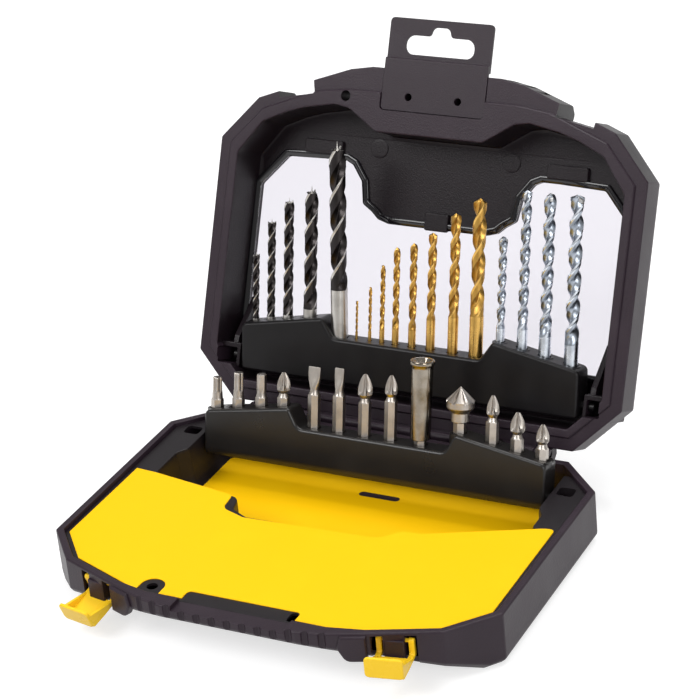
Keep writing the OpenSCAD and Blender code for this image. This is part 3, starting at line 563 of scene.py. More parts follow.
def withCrease(points, b):
    # adds a matching pair of points where the underside starts to rise
    result = []
    for i, here in enumerate(points):
        result.append(here)
        after = points[(i + 1) % len(points)]
        if (here[1] - b) * (after[1] - b) < 0:
            share = (b - here[1]) / (after[1] - here[1])
            result.append((here[0] + share * (after[0] - here[0]), b))
    return result


def baseOutline(inset):
    return withCrease(caseOutline(inset), case["flatFront"])


def bevelShares(outline, atFront):
    # the outer bevel grows smaller towards the front
    fade = case["bevelFade"]
    return [blend(1, atFront, (b - fade["from"]) / fade["over"]) for x, b in outline]


def bevelledRows(profile, height, shares, outline):
    rows = []
    for inset, up in profile:
        row = []
        for share, outer, inner in zip(shares, outline(0), outline(inset)):
            x, b = (blend(o, i, share) for o, i in zip(outer, inner))
            row.append((x, b, height(b) + up * share))
        rows.append(row)
    return rows


def cutLatchSlots(piece):
    # the same slots as the solid has, beside and in front of each latch's boss
    latch = case["latch"]
    wide, boss, back = latch["roomHalf"], latch["bossHalf"], latch["roomBack"]
    top = latch["drop"] - latch["roomCover"]
    slots = [(-wide, -boss, back, top), (boss, wide, back, top),
             (-wide, wide, latch["bossFront"], top), (-wide, wide, back, latch["plateTop"])]
    for side in (-1, 1):
        for x0, x1, start, high in slots:
            shape = box(x0, start, x1, beyond, 0.5, 2)
            place = baseFrame @ latchPivot(side)
            cutWith(piece, newPrism("latchSlot", place, shape, -case["baseHeight"], high, 0, 0.4, 2))


def boreTie(piece, place, extra=0):
    # one bore for a cable tie goes through base, tray and lid
    shape = disc(*case["tieHole"], case["tieRadius"] + extra)
    cutWith(piece, newPrism("tieBore", place, shape, -beyond, 30))


def frontAt(x):
    # the handle's front edge: straight in the middle, then falling back
    x, fall = abs(x), case["handleFall"]
    return (case["depth"] - fall["first"] * max(0, min(x, fall["bend"]) - fall["from"])
            - fall["second"] * max(0, x - fall["bend"]))


def ribCutter(name, place, low, high, count):
    ribs = baseShell["ribs"]
    half, deep, flare, slant = ribs["width"] / 2, ribs["depth"], ribs["flare"], ribs["slant"]
    bm = bmesh.new()
    for i in range(count):
        x = (i - (count - 1) / 2) * ribs["pitch"]
        front = frontAt(x)
        outline = [(x - half - flare, front + 2), (x - half, front - slant * deep),
                   (x - slant * half, front - deep), (x + slant * half, front - deep),
                   (x + half, front - slant * deep), (x + half + flare, front + 2)]
        softPrism(bm, rounded(outline, [0, 0.8, 0.6, 0.6, 0.8, 0], 3), low, high)
    return meshObject(name, bm, place)


def addKnuckle(bm, x0, x1, radius, foot):
    # a knuckle stands behind the shell's back edge, on a foot that reaches into the shell
    rod = Matrix.Translation((x0, 0, 0)) @ turn(90, "Y")
    length, soft = x1 - x0, 0.4
    profile = [(radius - soft, 0), (radius, soft), (radius, length - soft), (radius - soft, length)]
    latheAbout(bm, profile, rod)
    side = roundCorners(foot, 0.5, 2)
    closedStack(bm, [[(x, b, z) for b, z in side] for x in (x0, x1)])


def makeBaseShell():
    shell = baseShell
    shares = bevelShares(baseOutline(0), shell["frontBevel"])
    rows = bevelledRows(shell["bevel"], undersideAt, shares, baseOutline)
    for inset, down in roundOver(shell["rimEdge"], 4):
        rows.append([(x, b, -down) for x, b in baseOutline(inset)])
    for down, back in roundOver(shell["innerEdge"], 3):
        inset = case["rimWidth"] - back
        rows.append([(x, b, -down) for x, b in openFront(baseOutline(inset), inset)])

    def floorAt(b):
        return undersideAt(b) + case["wall"] * shell["floorShare"]

    def flangeAt(b, clear):
        # the flange's lower edge stays clear of the rising floor
        return max(-shell["flange"], floorAt(b) + clear)

    flange = openFront(baseOutline(case["rimWidth"]), case["rimWidth"])
    inner, bend = baseOutline(case["wall"]), shell["floorRound"]
    rows.append([(x, b, flangeAt(b, 0.3)) for x, b in flange])
    rows.append([(x, b, flangeAt(b, 0.2)) for x, b in inner])
    rows.append([(x, b, min(floorAt(b) + bend * s, flangeAt(b, 0.2))) for s, (x, b) in zip(shares, inner)])
    rows.append([(x, b, floorAt(b)) for x, b in baseOutline(case["wall"] + bend)])
    bm = bmesh.new()
    rings = stackRings(bm, rows)
    pairCap(bm, rings[0])
    pairCap(bm, rings[-1])
    return meshObject("baseShell", bm, baseFrame)


def finishBaseShell(piece):
    bay, block, boss, knuckle = (baseShell[part] for part in ("bay", "block", "boss", "knuckle"))
    cutLatchSlots(piece)
    cutWith(piece, ribCutter("ribSlots", baseFrame, -12, 2, baseShell["ribs"]["base"]))
    extent = (-bay["half"], bay["back"], -bay["drop"]), (bay["half"], 260, 8)
    cutWith(piece, boxCutter("tabBay", baseFrame, extent, 2.2))
    boreTie(piece, baseFrame)
    # blocks behind each latch and rounded bosses beside the handle
    blockShape = box(-block["half"], block["back"], block["half"], block["front"], 0.6, 3)
    bossShape = rounded(boss["outline"], boss["radii"], 5)
    along = (Matrix.Translation((boss["x"], frontAt(boss["x"]), 0)) @ turn(-boss["swing"], "Z")
             @ turn(90, "X"))
    for side in (-1, 1):
        layPrism(piece, baseFrame @ latchPivot(side), blockShape, block["low"], block["high"], 0.4, 0.6)
        place = baseFrame @ mirrored(side) @ along
        layPrism(piece, place, bossShape, boss["back"], boss["front"], 1.2, 0.5, 4)
    bm = bmesh.new()
    hinge, half = case["hinge"], knuckle["half"]
    for s in (-1, 1):
        for e in (-1, 1):
            middle = s * hinge["x"] + e * knuckle["apart"]
            addKnuckle(bm, middle - half, middle + half, hinge["radius"], knuckle["toe"])
    addTo(piece, bm, baseFrame)
    dress(piece, "base", [finishes["caseBlack"]], ["base_shell"])


finishBaseShell(makeBaseShell())
print("stage: base shell")


# Tray insert: deck, side shelves and the sloping walls down to the floor
tray = {
    "level": -2.5, "thick": 1.6, "edge": 0.7, "fit": 0.15,
    "shelf": {"back": 15, "bend": 51, "wider": 58, "half": 109.5, "wideHalf": 113.7, "end": 118,
              "leftFront": 81, "rightFront": 71.5},
    "left": [(-54.5, 92), (-51.5, 103.5), (-40.5, 109)], "leftRadii": [5.5, 5, 3],
    "right": [(35.5, 107.5), (41, 105.5), (49, 97), (60.5, 96), (119.3, 71.5)], "rightRadii": [3, 3, 4, 4, 3],
    # the wall's steps: how far into the well and how far down, most of it at the two ends
    "drop": [(0, 0), (0.3, -1), (0.6, -6), (1.1, -14), (2.2, -20), (4.4, -24), (7.2, -25.7)],
    "dropScale": 25.9 / 25.7, "wallTop": 0.8, "wallThick": 1.2,
    "slope": {"least": 0.12, "from": 96, "over": 12},
    "notch": {"b": (27.2, 35.6), "x": (112.6, 122.4), "deep": 9},
    "pinBlock": {"b": (23.5, 39.5), "x": (110.2, 124.2), "low": -16.5, "high": -3.2},
    "pocket": ((28.6, 186.2, -9), (33.2, 194.6, 5)),
}


def trayEdge():
    # the deck's inner edge from the left shelf's back end, round the plateau, to the right one's
    shelf = tray["shelf"]
    half, wide, back, bend, wider = (shelf[key] for key in ("half", "wideHalf", "back", "bend", "wider"))
    left = [(-half, back), (-half, bend), (-wide, wider), (-wide, shelf["leftFront"])]
    right = [(wide, shelf["rightFront"]), (wide, wider), (half, bend), (half, back)]
    radii = [0, 3, 3, 3] + tray["leftRadii"] + tray["rightRadii"] + [2.5, 3, 3, 0]
    return roundCorners(left + tray["left"] + tray["right"] + right, radii, 5)


def makeTrayInsert():
    edge = trayEdge()
    back, end = tray["shelf"]["back"], tray["shelf"]["end"]
    inset = case["rimWidth"] + tray["fit"]
    outer = [p for p in openFront(caseOutline(inset), inset) if p[1] > back]
    right = [p for p in outer if p[0] > 0]
    left = [p for p in outer if p[0] < 0]
    loop = pointsApart([(end, back)] + right + left + [(-end, back)] + edge, 0.05)
    bm = bmesh.new()
    softPrism(bm, plain(loop), tray["level"] - tray["thick"], tray["level"], 0, tray["edge"], 2)
    addTrayWalls(bm, edge)
    return meshObject("trayInsert", bm, baseFrame)


def addTrayWalls(bm, edge):
    slope, thick = tray["slope"], tray["wallThick"]
    rows = []
    for spread, down in tray["drop"]:
        row = []
        for i, (x, b) in enumerate(edge):
            before, after = edge[max(i - 1, 0)], edge[min(i + 1, len(edge) - 1)]
            along = Vector((after[0] - before[0], after[1] - before[1]))
            along = along.normalized() if along.length > 1e-6 else Vector((0, 1))
            move = spread * blend(slope["least"], 1, (abs(x) - slope["from"]) / slope["over"])
            row.append((x + along.y * move, b - along.x * move,
                        tray["level"] - tray["wallTop"] + down * tray["dropScale"]))
        rows.append(row)

    def outside(x, b, z):
        # the walls' outer face lies to the side of the shelves and in front of the plateau
        return (x + math.copysign(thick, x), b, z) if abs(x) > 100 else (x, b + thick, z)

    rows += [[outside(x, b, rows[k][0][2]) for x, b in edge] for k in (-1, 0)]
    rings = stackRings(bm, rows, closed=False)
    joinRings(bm, rings[-1], rings[0], closed=False)
    for k in (0, -1):
        fillFlat(bm, [[ring[k] for ring in rings]])


def finishTray(piece):
    notch, block = tray["notch"], tray["pinBlock"]
    bm = bmesh.new()
    for s in (-1, 1):
        # a block under the shelf holds the rack's pin
        (x0, x1), (b0, b1) = block["x"], block["b"]
        softPrism(bm, box(s * x0, b0, s * x1, b1, 1), block["low"], block["high"], 0.6, 0.1, 2)
    cutWith(piece, meshObject("pinBlocks", bm, baseFrame), "UNION")
    (x0, x1), (b0, b1) = notch["x"], notch["b"]
    for s in (-1, 1):
        extent = (s * x0, b0, tray["level"] - notch["deep"]), (s * x1, b1, 5)
        cutWith(piece, boxCutter("pinNotch", baseFrame, extent, 2.2))
    boreTie(piece, baseFrame, 0.05)
    cutWith(piece, boxCutter("bayPocket", baseFrame, tray["pocket"], 2))
    dress(piece, "base", [finishes["insertBlack"]], ["tray_insert"])


finishTray(makeTrayInsert())
print("stage: tray insert")


# Cards: thin printed-yellow sheets with rounded corners
cards = {
    "thick": 0.5, "edge": 0.15, "tieNotch": 7, "slot": ((-12.8, 26.2, -40), (12.8, 31.2, 0)),
    "leftEnd": [(-126.6, 81), (-113.7, 82)], "step": [(-58.6, 91), (-57.2, 105), (-41.5, 110.6)],
    "rightEnd": [(121.5, 70.8), (126.8, 70.2), (126.9, 76)],
    "backRadii": [0, 0, 3.5, 6, 4, 3, 3, 4, 4, 6, 3.5, 4, 0],
    "leftFrom": 82, "rightFrom": 74,
    "floorRight": [(-104.5, 14), (103, 14), (103, 76)], "floorLeft": [(-106, 79.5)], "floorFront": 1.6,
    "floorLow": -28.45, "floorHigh": -28.0,
}


def makeTrayCard():
    inset = case["lipInset"]
    limit = case["depth"] - case["handleRim"]  # the card's straight front edge
    bay, (tieX, tieB), size = baseShell["bay"], case["tieHole"], cards["tieNotch"]
    outer = openFront(caseOutline(inset), inset)
    right = [p for p in outer if p[0] > 0 and p[1] > cards["rightFrom"]]
    left = [p for p in outer if p[0] < 0 and p[1] > cards["leftFrom"]]
    left = [p for p in left if p[1] < limit - 0.01 or p[0] <= tieX - size]
    back = cards["leftEnd"] + cards["step"] + tray["right"] + cards["rightEnd"]
    back = roundCorners(back, cards["backRadii"], 5)
    notch = [(tieX + size * math.cos(a), tieB + size * math.sin(a))
             for a in [math.radians(d) for d in range(-2, -179, -14)]]
    half = bay["half"]
    bayCut = [(half, limit + 3), (half, bay["back"]), (-half, bay["back"]), (-half, limit + 3)]
    bayCut = [(x, min(b, limit)) for x, b in roundCorners(bayCut, [0, 2.6, 2.6, 0], 5)]
    loop = right + bayCut + [(tieX + size, limit)] + notch + [(tieX - size, limit)] + left + back
    low, high = tray["level"] - 0.02, tray["level"] + cards["thick"]
    piece = newPrism("trayCard", baseFrame, plain(pointsApart(loop, 0.06)), low, high, 0, cards["edge"], 1)
    dress(piece, "base", [finishes["cardYellow"]], ["tray_card"])


def makeFloorCard():
    front = [(x, b - cards["floorFront"]) for x, b in tray["left"] + tray["right"][:-1]]
    points = cards["floorRight"] + front[::-1] + cards["floorLeft"]
    shape = rounded(points, [3, 3, 2] + [3] * len(front) + [6], 5)
    low, high = cards["floorLow"], cards["floorHigh"]
    piece = newPrism("floorCard", baseFrame, shape, low, high, 0, cards["edge"], 1)
    cutWith(piece, boxCutter("floorSlot", baseFrame, cards["slot"], 2.4))
    dress(piece, "base", [finishes["cardYellow"]], ["floor_card"])


makeTrayCard()
makeFloorCard()
print("stage: cards")


# Lid shell: outer face with the window opening, shoulder, lip, centre pad and inner panel
lid = {
    "bevel": [(9, 0), (7, 0.1), (5.2, 1.0), (0.8, 6.8), (0.1, 8.4), (0, 11)], "frontBevel": 0.85,
    "shoulder": 0.9, "lipEdge": 0.6, "panel": -25.4, "draft": 1.4, "mouthEdge": 0.8,
    "middle": 100, "insideTop": -3.5, "gripFrom": 188,
    "mouth": [(103.6, 15.5), (122, 33.9), (121.5, 148.5), (106.8, 168), (91.7, 174.8), (80, 178.5), (61, 182),
              (52, 180.5), (33.5, 168.5)],
    "mouthRadii": [3, 4, 6, 7, 8, 8, 6, 6, 5],
    "window": [(31, 116), (38, 118), (42.5, 122), (48.8, 126), (51, 139), (57.7, 148), (62, 150),
               (73, 150), (101, 149), (117, 131), (117, 52), (109, 45)],
    "windowRadius": 3.0, "paneEdge": 2.8,
    "ring": [(4.2, 0.0), (4.0, 1.7), (3.4, 2.1), (2.0, 2.1), (0.2, 1.0), (0.0, 0.9), (0.0, 0.0)],
    "bracket": ((109.2, 21.5, -26), (127, 36, -5.2)),
    "bracketRoom": ((111.2, 23.6, -19), (121.2, 33.2, 4)),
    "gusset": [(34, -25.6), (34, -6.6), (40, -7.5), (64, -25.6)], "gussetAt": (112, 115.4),
    "tabRoom": ((-32.6, 181.4, -1.5), (32.6, 260, 9)),
    "foot": [(-2.2, -1), (4.5, -10), (4.5, -0.3), (0, -0.3)], "knuckleHalf": 10,
    "cover": {"half": 55.5, "radius": 2.9},
    "ejector": {"x": 42, "b": 159, "steps": [(5.6, -0.2), (5.5, 0.45), (5.0, 0.55)]},
    "clips": [(-90, 152.5, -65, 161), (65, 152.5, 90, 161), (-7.5, 115, 7.5, 125.5)],
}


def mouthOutline(inset):
    radii = lid["mouthRadii"]
    return roundCorners(drawnIn(bothSides(lid["mouth"]), inset), radii + radii[::-1], 4)


def windowOutline(grow):
    return roundCorners(drawnIn(bothSides(lid["window"])[::-1], -grow), lid["windowRadius"], 4)


def makeLidShell():
    height, rise, panel, draft = case["lidHeight"], case["lipRise"], lid["panel"], lid["draft"]
    lipInset, lipEdge = case["lipInset"], lid["lipEdge"]
    limit = case["depth"] - case["handleRim"] - 1.5  # where the lip crosses the handle

    def lipRow(inset, level):
        return [(x, min(b, limit - (inset - lipInset)), level) for x, b in caseOutline(inset)]

    shares = bevelShares(caseOutline(0), lid["frontBevel"])
    rows = bevelledRows(lid["bevel"], lambda b: -height, shares, caseOutline)
    for inset, down in roundOver(lid["shoulder"], 3):
        rows.append([(x, b, -0.1 - down) for x, b in caseOutline(inset)])
    for inset, level in ((lipInset - 0.3, -0.1), (lipInset, 0.3), (lipInset + 0.1, rise - lipEdge),
                         (lipInset + 0.1 + lipEdge, rise)):
        rows.append(lipRow(inset, level))
    bm = bmesh.new()
    outer = stackRings(bm, rows)
    inside = [(-grow, rise - down) for down, grow in roundOver(lid["mouthEdge"], 3)]
    inside += [(0.4, -8), (draft, panel + 2.2), (draft + 0.7, panel + 0.6), (draft + 2.2, panel)]
    inner = stackRings(bm, [[(x, b, z) for x, b in mouthOutline(inset)] for inset, z in inside])
    fillFlat(bm, [outer[-1], inner[0]])
    hole = stackRings(bm, [[(x, b, z) for x, b in windowOutline(0)] for z in (-height, panel)])
    fillFlat(bm, [outer[0], hole[0]])
    fillFlat(bm, [inner[-1], hole[1]])
    return meshObject("lidShell", bm, lidFrame)


def lidDetails(piece):
    latch, rivet = case["latch"], case["rivet"]
    wide, back, hook = latch["roomHalf"], latch["roomBack"], latch["drop"] - latch["reach"] + 0.3
    # catch recesses, as deep as the latch hooks need
    for side in (-1, 1):
        place = lidFrame @ latchPlace(side, 0)
        cutWith(piece, boxCutter("catch", place, ((-wide, back, -33), (wide, beyond, 9)), 0.5))
        cutWith(piece, boxCutter("catchDeep", place, ((-wide, back - 2, -33), (wide, beyond, hook)), 0.5))
    cutWith(piece, ribCutter("lidRibs", lidFrame, -18, -2.6, baseShell["ribs"]["lid"]))
    # brackets at the drill rack's pins, with a gusset over each
    (x0, b0, low), (x1, b1, high) = lid["bracket"]
    gusset = rounded(lid["gusset"], [0.4, 1.2, 2, 0.4], 3)
    for side in (-1, 1):
        place = lidFrame @ mirrored(side)
        bracket = newPrism("pinBracket", place, box(x0, b0, x1, b1, 1.2), low, high, 0, 0.6, 2)
        cutWith(piece, bracket, "UNION")
        web = newPrism("gusset", place @ pushedAcross, gusset, *lid["gussetAt"], 0.4, 0.4, 2)
        cutWith(piece, web, "UNION")
        cutWith(piece, boxCutter("bracketRoom", place, lid["bracketRoom"], 1.0))
    boreTie(piece, lidFrame)
    cutWith(piece, boxCutter("tabRoom", lidFrame, lid["tabRoom"], 2.7))
    for side in (-1, 1):
        shape = disc(side * rivet["x"], rivet["b"], rivet["radius"])
        cutWith(piece, newPrism("rivetHole", lidFrame, shape, -9, 5))
    return piece


def addLidMarks(bm):
    # small moulded marks: round ejector discs and the window's clip tabs
    mark, panel = lid["ejector"], lid["panel"]
    for s in (-1, 1):
        closedStack(bm, [[(x, b, panel + up) for x, b in disc(s * mark["x"], mark["b"], radius, 40)(0)]
                         for radius, up in mark["steps"]])
    for x0, b0, x1, b1 in lid["clips"]:
        softPrism(bm, box(x0, b0, x1, b1, 1.4), panel - 0.3, panel + 2.6, 0.2, 0.7, 2)


def finishLid(piece):
    half, foot, cover = lid["knuckleHalf"], lid["foot"], lid["cover"]
    bm = bmesh.new()
    for s in (-1, 1):
        middle = s * case["hinge"]["x"]
        addKnuckle(bm, middle - half, middle + half, case["hinge"]["radius"], foot)
    addKnuckle(bm, -cover["half"], cover["half"], cover["radius"], foot)
    addLidMarks(bm)
    addTo(piece, bm, lidFrame)
    # the walls round the panel and the grip are smoother than the outside, and their darker colour is painted
    # shade
    toLid, panel, top = lidFrame.inverted(), lid["panel"], lid["insideTop"]
    for face in piece.data.polygons:
        x, b, z = toLid @ face.center
        across, forward, up = toLid.to_3x3() @ face.normal
        inwards = across * x + forward * (b - lid["middle"]) < 0
        inside = panel - 1 < z < top and (up > 0 or inwards) and abs(x) < case["halfWidth"] - 4
        grip = b > lid["gripFrom"] and panel + 4 < z < top + 1
        if inside or grip:
            # these faces take the darker finish, which paints shade on them
            face.material_index = 1
    dress(piece, "lid", [finishes["caseBlack"], finishes["lidPaintedShade"]], ["lid_shell"])


def makeWindow():
    panel = lid["panel"]
    shape = plain(windowOutline(lid["paneEdge"]))
    piece = newPrism("lidWindow", lidFrame, shape, panel - 0.25, panel + 1.0, 0.1, 0.3, 1)
    dress(piece, "lid", [finishes["window"]], ["lid_window"])
    # the bevelled ring round the pane
    bm = bmesh.new()
    rings = [addRing(bm, [(x, b, panel + z) for x, b in windowOutline(grow)]) for grow, z in lid["ring"]]
    for one, two in zip(rings, rings[1:] + rings[:1]):
        joinRings(bm, one, two)
    piece = meshObject("windowRing", bm, lidFrame)
    dress(piece, "lid", [finishes["ringBlack"]])


finishLid(lidDetails(makeLidShell()))
makeWindow()
print("stage: lid")


# Hanger tab: a stepped strap with the hanging slot and two rivet holes
tab = {
    "half": 32.25, "back": 181.7, "step": 207.5, "stepLength": 4.4, "end": 235, "thick": 2.0, "rise": 2.0,
    "corner": 2.6, "slotHalf": 21.5, "slotHigh": 11, "slotAt": 220, "bumpTop": 230.8, "bumpHalf": (6.6, 5.2),
    "slotRadii": [4.6, 4.6, 5.2, 2.2, 4.5, 4.5, 2.2, 5.2],
}


def makeHangerTab():
    back, step, end, far = tab["back"], tab["step"], tab["end"], tab["step"] + tab["stepLength"]
    low = case["lipRise"] - 1 - tab["thick"]
    low2, high, high2 = low - tab["rise"], low + tab["thick"], low - tab["rise"] + tab["thick"]
    side = [(back, low), (step, low), (step, low2), (end, low2), (end, high2), (far, high2), (far, high),
            (back, high)]
    side = roundCorners(side, [0, 0.3, 0.5, 0.3, 0.3, 0.5, 0.8, 0.3], 3)
    bm = bmesh.new()
    closedStack(bm, [[(x, b, h) for b, h in side] for x in (-tab["half"] - 3, tab["half"] + 3)])
    piece = meshObject("hangerTab", bm, lidFrame)
    plan = box(-tab["half"], back, tab["half"], end, tab["corner"], 6)
    cutWith(piece, newPrism("tabPlan", lidFrame, plan, -20, 20), "INTERSECT")
    half, at, high = tab["slotHalf"], tab["slotAt"], tab["slotHigh"] / 2
    slotLow, slotTop = at - high, at + high
    (wide, narrow), top, rivet = tab["bumpHalf"], tab["bumpTop"], case["rivet"]
    points = [(-half, slotLow), (half, slotLow), (half, slotTop), (wide, slotTop), (narrow, top),
              (-narrow, top), (-wide, slotTop), (-half, slotTop)]
    bm = bmesh.new()
    softPrism(bm, rounded(points, tab["slotRadii"], 6), -20, 20)
    for s in (-1, 1):
        softPrism(bm, disc(s * rivet["x"], rivet["b"], rivet["radius"]), -20, 20)
    cutWith(piece, meshObject("tabHoles", bm, lidFrame))
    dress(piece, "lid", [finishes["tabBlack"]], ["hanger_tab"], bevel=0.35)


makeHangerTab()
print("stage: hanger tab")


# Racks: rounded bars with stepped tops, drilled for the tools
racks = {
    "half": 107, "thick": 16, "edge": 1.9, "radii": [2.4, 3.6, 3, 5], "wall": 2, "postWall": 1.5,
    "stubAt": 110.5,
    # top: the middle's height, the sides' height, where the step starts and ends, and the fall beyond it
    "drill": {"plane": case["drillPlane"], "top": [42.3, 53.6, 46.5, 54, 0.184], "bottom": 16, "under": 1.5,
              "pivot": 22.5, "stub": 2.5, "finish": "rackBlack"},
    "bit": {"plane": case["bitPlane"], "top": [9.8, 21, 46, 52, 0.165], "bottom": -14, "under": 4.5,
            "pivot": -9.3, "stub": 3.0, "finish": "bitRackBlack"},
}
# Drills: diameter, place along the rack and length over the rack
woodDrills = [(4, -101.3, 41.3), (5, -91.2, 60.5), (6, -79.9, 72.1), (8, -65.3, 77.8), (10, -45.6, 114.8)]
metalDrills = [(1.5, -34.7, 22.7), (2, -26.2, 32), (3, -18.4, 45.9), (4, -9.8, 57.3), (4.5, 0.8, 61),
               (5.2, 12.5, 68.3), (6, 26.5, 81.2), (8, 41, 91.3)]
masonryDrills = [(5, 55.8, 60.2), (6, 69.2, 90.4), (7, 83.1, 92.8), (8, 99.1, 96.5)]
# Bits: node, seat, place along the rack, length over it, the shank's share of that, kind and tip's size
bits = [
    ("star_bit_1", "short", -102.6, 18.1, 0.3, "star", 2.95),
    ("star_bit_2", "short", -88.6, 20.4, 0.28, "star", 3.0),
    ("hex_bit", "short", -73.5, 19.1, 0.3, "hex", 2.5),
    ("cross_bit_short_1", "short", -59.1, 19.6, 0.28, "cross", 3.35),
    ("slot_bit_wide", "long", -39.3, 35.6, 0.56, "slot", 3.7),
    ("slot_bit_narrow", "long", -23.4, 37, 0.58, "slot", 2.85),
    ("cross_bit_long_1", "long", -7.1, 35.7, 0.56, "cross", 3.6),
    ("cross_bit_long_2", "long", 9.2, 37.3, 0.62, "cross", 3.1),
    ("cross_bit_short_2", "short", 71.4, 26.7, 0.46, "cross", 3.0),
    ("cross_bit_short_3", "short", 86.5, 21.7, 0.34, "cross", 3.5),
    ("cross_bit_short_4", "short", 101.5, 19.5, 0.33, "cross", 3.1),
]
holder = {"x": 27.9, "out": 49, "radius": 5.8, "mouth": 7.1}
sink = {"x": 51.8, "out": 26.2}
seats = {"drill": 17, "short": 6.6, "long": 14, "drillRoom": 0.45, "hexRadius": 4.15}


def rackTop(kind, x):
    middle, peak, inner, outer, fall = racks[kind]["top"]
    if abs(x) <= inner:
        return middle
    return blend(middle, peak, (abs(x) - inner) / (outer - inner)) - fall * max(0, abs(x) - outer)


def onRack(kind, x, up=0):
    # the frame of a tool that stands on the rack's top
    return rackFrame(racks[kind]["plane"]) @ Matrix.Translation((x, 0, rackTop(kind, x) + up))


def rackBar(kind, shape):
    rack, front, edge = racks[kind], racks["thick"] / 2, racks["edge"]
    rows = []
    for inset, back in roundOver(edge, 5):
        # the lower front edge curves under more than the others
        more = (rack["under"] - edge) * inset / edge * 1.2
        rows.append([(x, back - front, s + more * max(0, 1 - (s - rack["bottom"]) / 6))
                     for x, s in shape(inset)])
    rows.reverse()
    rows += [[(x, front - back, s) for x, s in shape(inset)] for inset, back in roundOver(edge, 3)]
    bm = bmesh.new()
    rings = stackRings(bm, rows)
    for ring in (rings[0], rings[-1]):
        fillUpright(bm, ring)
    return bm


def makeRack(kind, sockets):
    # sockets holds each one's place, radius and depth
    rack, half, front = racks[kind], racks["half"], racks["thick"] / 2
    middle, peak, inner, outer = rack["top"][:4]
    points = [(half, rack["bottom"]), (half, rackTop(kind, half)), (outer, peak), (inner, middle)]
    shape = rounded(bothSides(points), racks["radii"] + racks["radii"][::-1], 5)
    place = rackFrame(rack["plane"])
    piece = meshObject(kind + "Rack", rackBar(kind, shape), place)
    # the back is open, and posts carry the sockets
    wall, stub = racks["wall"], rack["stub"]
    bm = bmesh.new()
    for ring in stackRings(bm, [[(x, y, s) for x, s in shape(wall)] for y in (wall - front, wall + front)]):
        fillUpright(bm, ring)
    cutWith(piece, meshObject("rackHollow", bm, place))
    bm = bmesh.new()
    around = racks["postWall"]
    for x, radius, depth in sockets:
        top = rackTop(kind, x)
        softPrism(bm, disc(x, 0, radius + around, 24), top - depth - around, top - 0.6)
    for s in (-1, 1):
        rod = Matrix.Translation((s * racks["stubAt"] - 4.5, 0, rack["pivot"])) @ turn(90, "Y")
        latheAbout(bm, [(stub - 0.4, 0), (stub, 0.4), (stub, 8.6), (stub - 0.5, 9)], rod)
    cutWith(piece, meshObject("posts", bm, place), "UNION")
    bm = bmesh.new()
    for x, radius, depth in sockets:
        top = rackTop(kind, x)
        softPrism(bm, disc(x, 0, radius, 24), top - depth, top + 12)
    cutWith(piece, meshObject("sockets", bm, place))
    dress(piece, kind + "_rack", [finishes[rack["finish"]]], [kind + "_rack"])


makeRack("drill", [(x, diameter / 2 + seats["drillRoom"], seats["drill"])
                   for diameter, x, out in woodDrills + metalDrills + masonryDrills])
hexSeats = [(x, seat) for node, seat, x, *rest in bits] + [(holder["x"], "long"), (sink["x"], "short")]
makeRack("bit", [(x, seats["hexRadius"], seats[seat]) for x, seat in hexSeats])
print("stage: racks")


# Latches: a flat plate with an upturned lip, two arms and the webs between them
latchParts = {
    "half": 10.25, "arm": 3.2, "armRadius": 1.6, "rise": 3.9, "drop": 9.0, "thick": 1.8, "foot": 5.4,
    "web": 1.7, "leftHang": 20,  # the left latch hangs lower by this angle
}


def makeLatch(name, node, side):
    part, reach = latchParts, case["latch"]["reach"]
    half, foot, thick, low, r = part["half"], part["foot"], part["thick"], -part["drop"], part["armRadius"]
    top = thick - part["drop"]
    place = baseFrame @ latchPivot(side)
    if side < 0:
        place = place @ turn(-part["leftHang"], "X")
    upright = place @ pushedAcross
    end = reach + thick - 0.3
    plate = rounded([(foot, low), (foot + 8, low), (reach + 0.4, top - 1.0), (end, top + 0.4),
                     (end, top + 2.4), (reach + 0.1, top + 2.4), (reach, top + 1.4), (foot, top)],
                    [0.5, 3, 1.2, 0.6, 0.4, 0.4, 0.6, 0.4], 4)
    piece = newPrism(name, upright, plate, -half, half, 0.8, 0.8, 4)
    # the lip stands across the plate's end, with round corners
    lip = box(-half, top - 0.6, half, part["rise"], 2.4)
    layPrism(piece, place @ facingFront, lip, reach, reach + thick, 0.5, 0.7)
    arm = rounded([(-r, r), (-r, low + 0.06), (foot + 3, low + 0.06), (foot + 3, top + 0.05),
                   (r + 0.8, top + 0.05), (r, top + 1.2), (r, r)], [1.55, 0.8, 0.3, 0.3, 0.6, 0.8, 1.55], 4)
    web = rounded([(foot + 0.4, top - 0.6), (reach + 0.6, top - 0.6), (reach + 0.6, 0.2), (reach - 0.6, 0.2),
                   (foot + 0.4, top + 0.3)], [0.2, 0.2, 0.5, 0.5, 0.2], 3)
    for s in (-1, 1):
        inner = s * (half - part["arm"])
        layPrism(piece, upright, arm, *sorted((inner, s * (half - 0.12))), 0.35, 0.35, 2)
        layPrism(piece, upright, web, *sorted((s * (half - part["web"]), s * (half - 0.1))), 0.3, 0.3, 2)
        bm = bmesh.new()
        rod = Matrix.Translation((inner - s * 1.6 - 1.8, 0, 0)) @ turn(90, "Y")
        latheAbout(bm, [(0.9, 0), (1.1, 0.2), (1.1, 3.4), (0.9, 3.6)], rod, 20)
        addTo(piece, bm, place)
    dress(piece, node, [finishes["latchYellow"]], [node], angle=40)


makeLatch("latchLeft", "latch_left", -1)
makeLatch("latchRight", "latch_right", 1)
print("stage: latches")


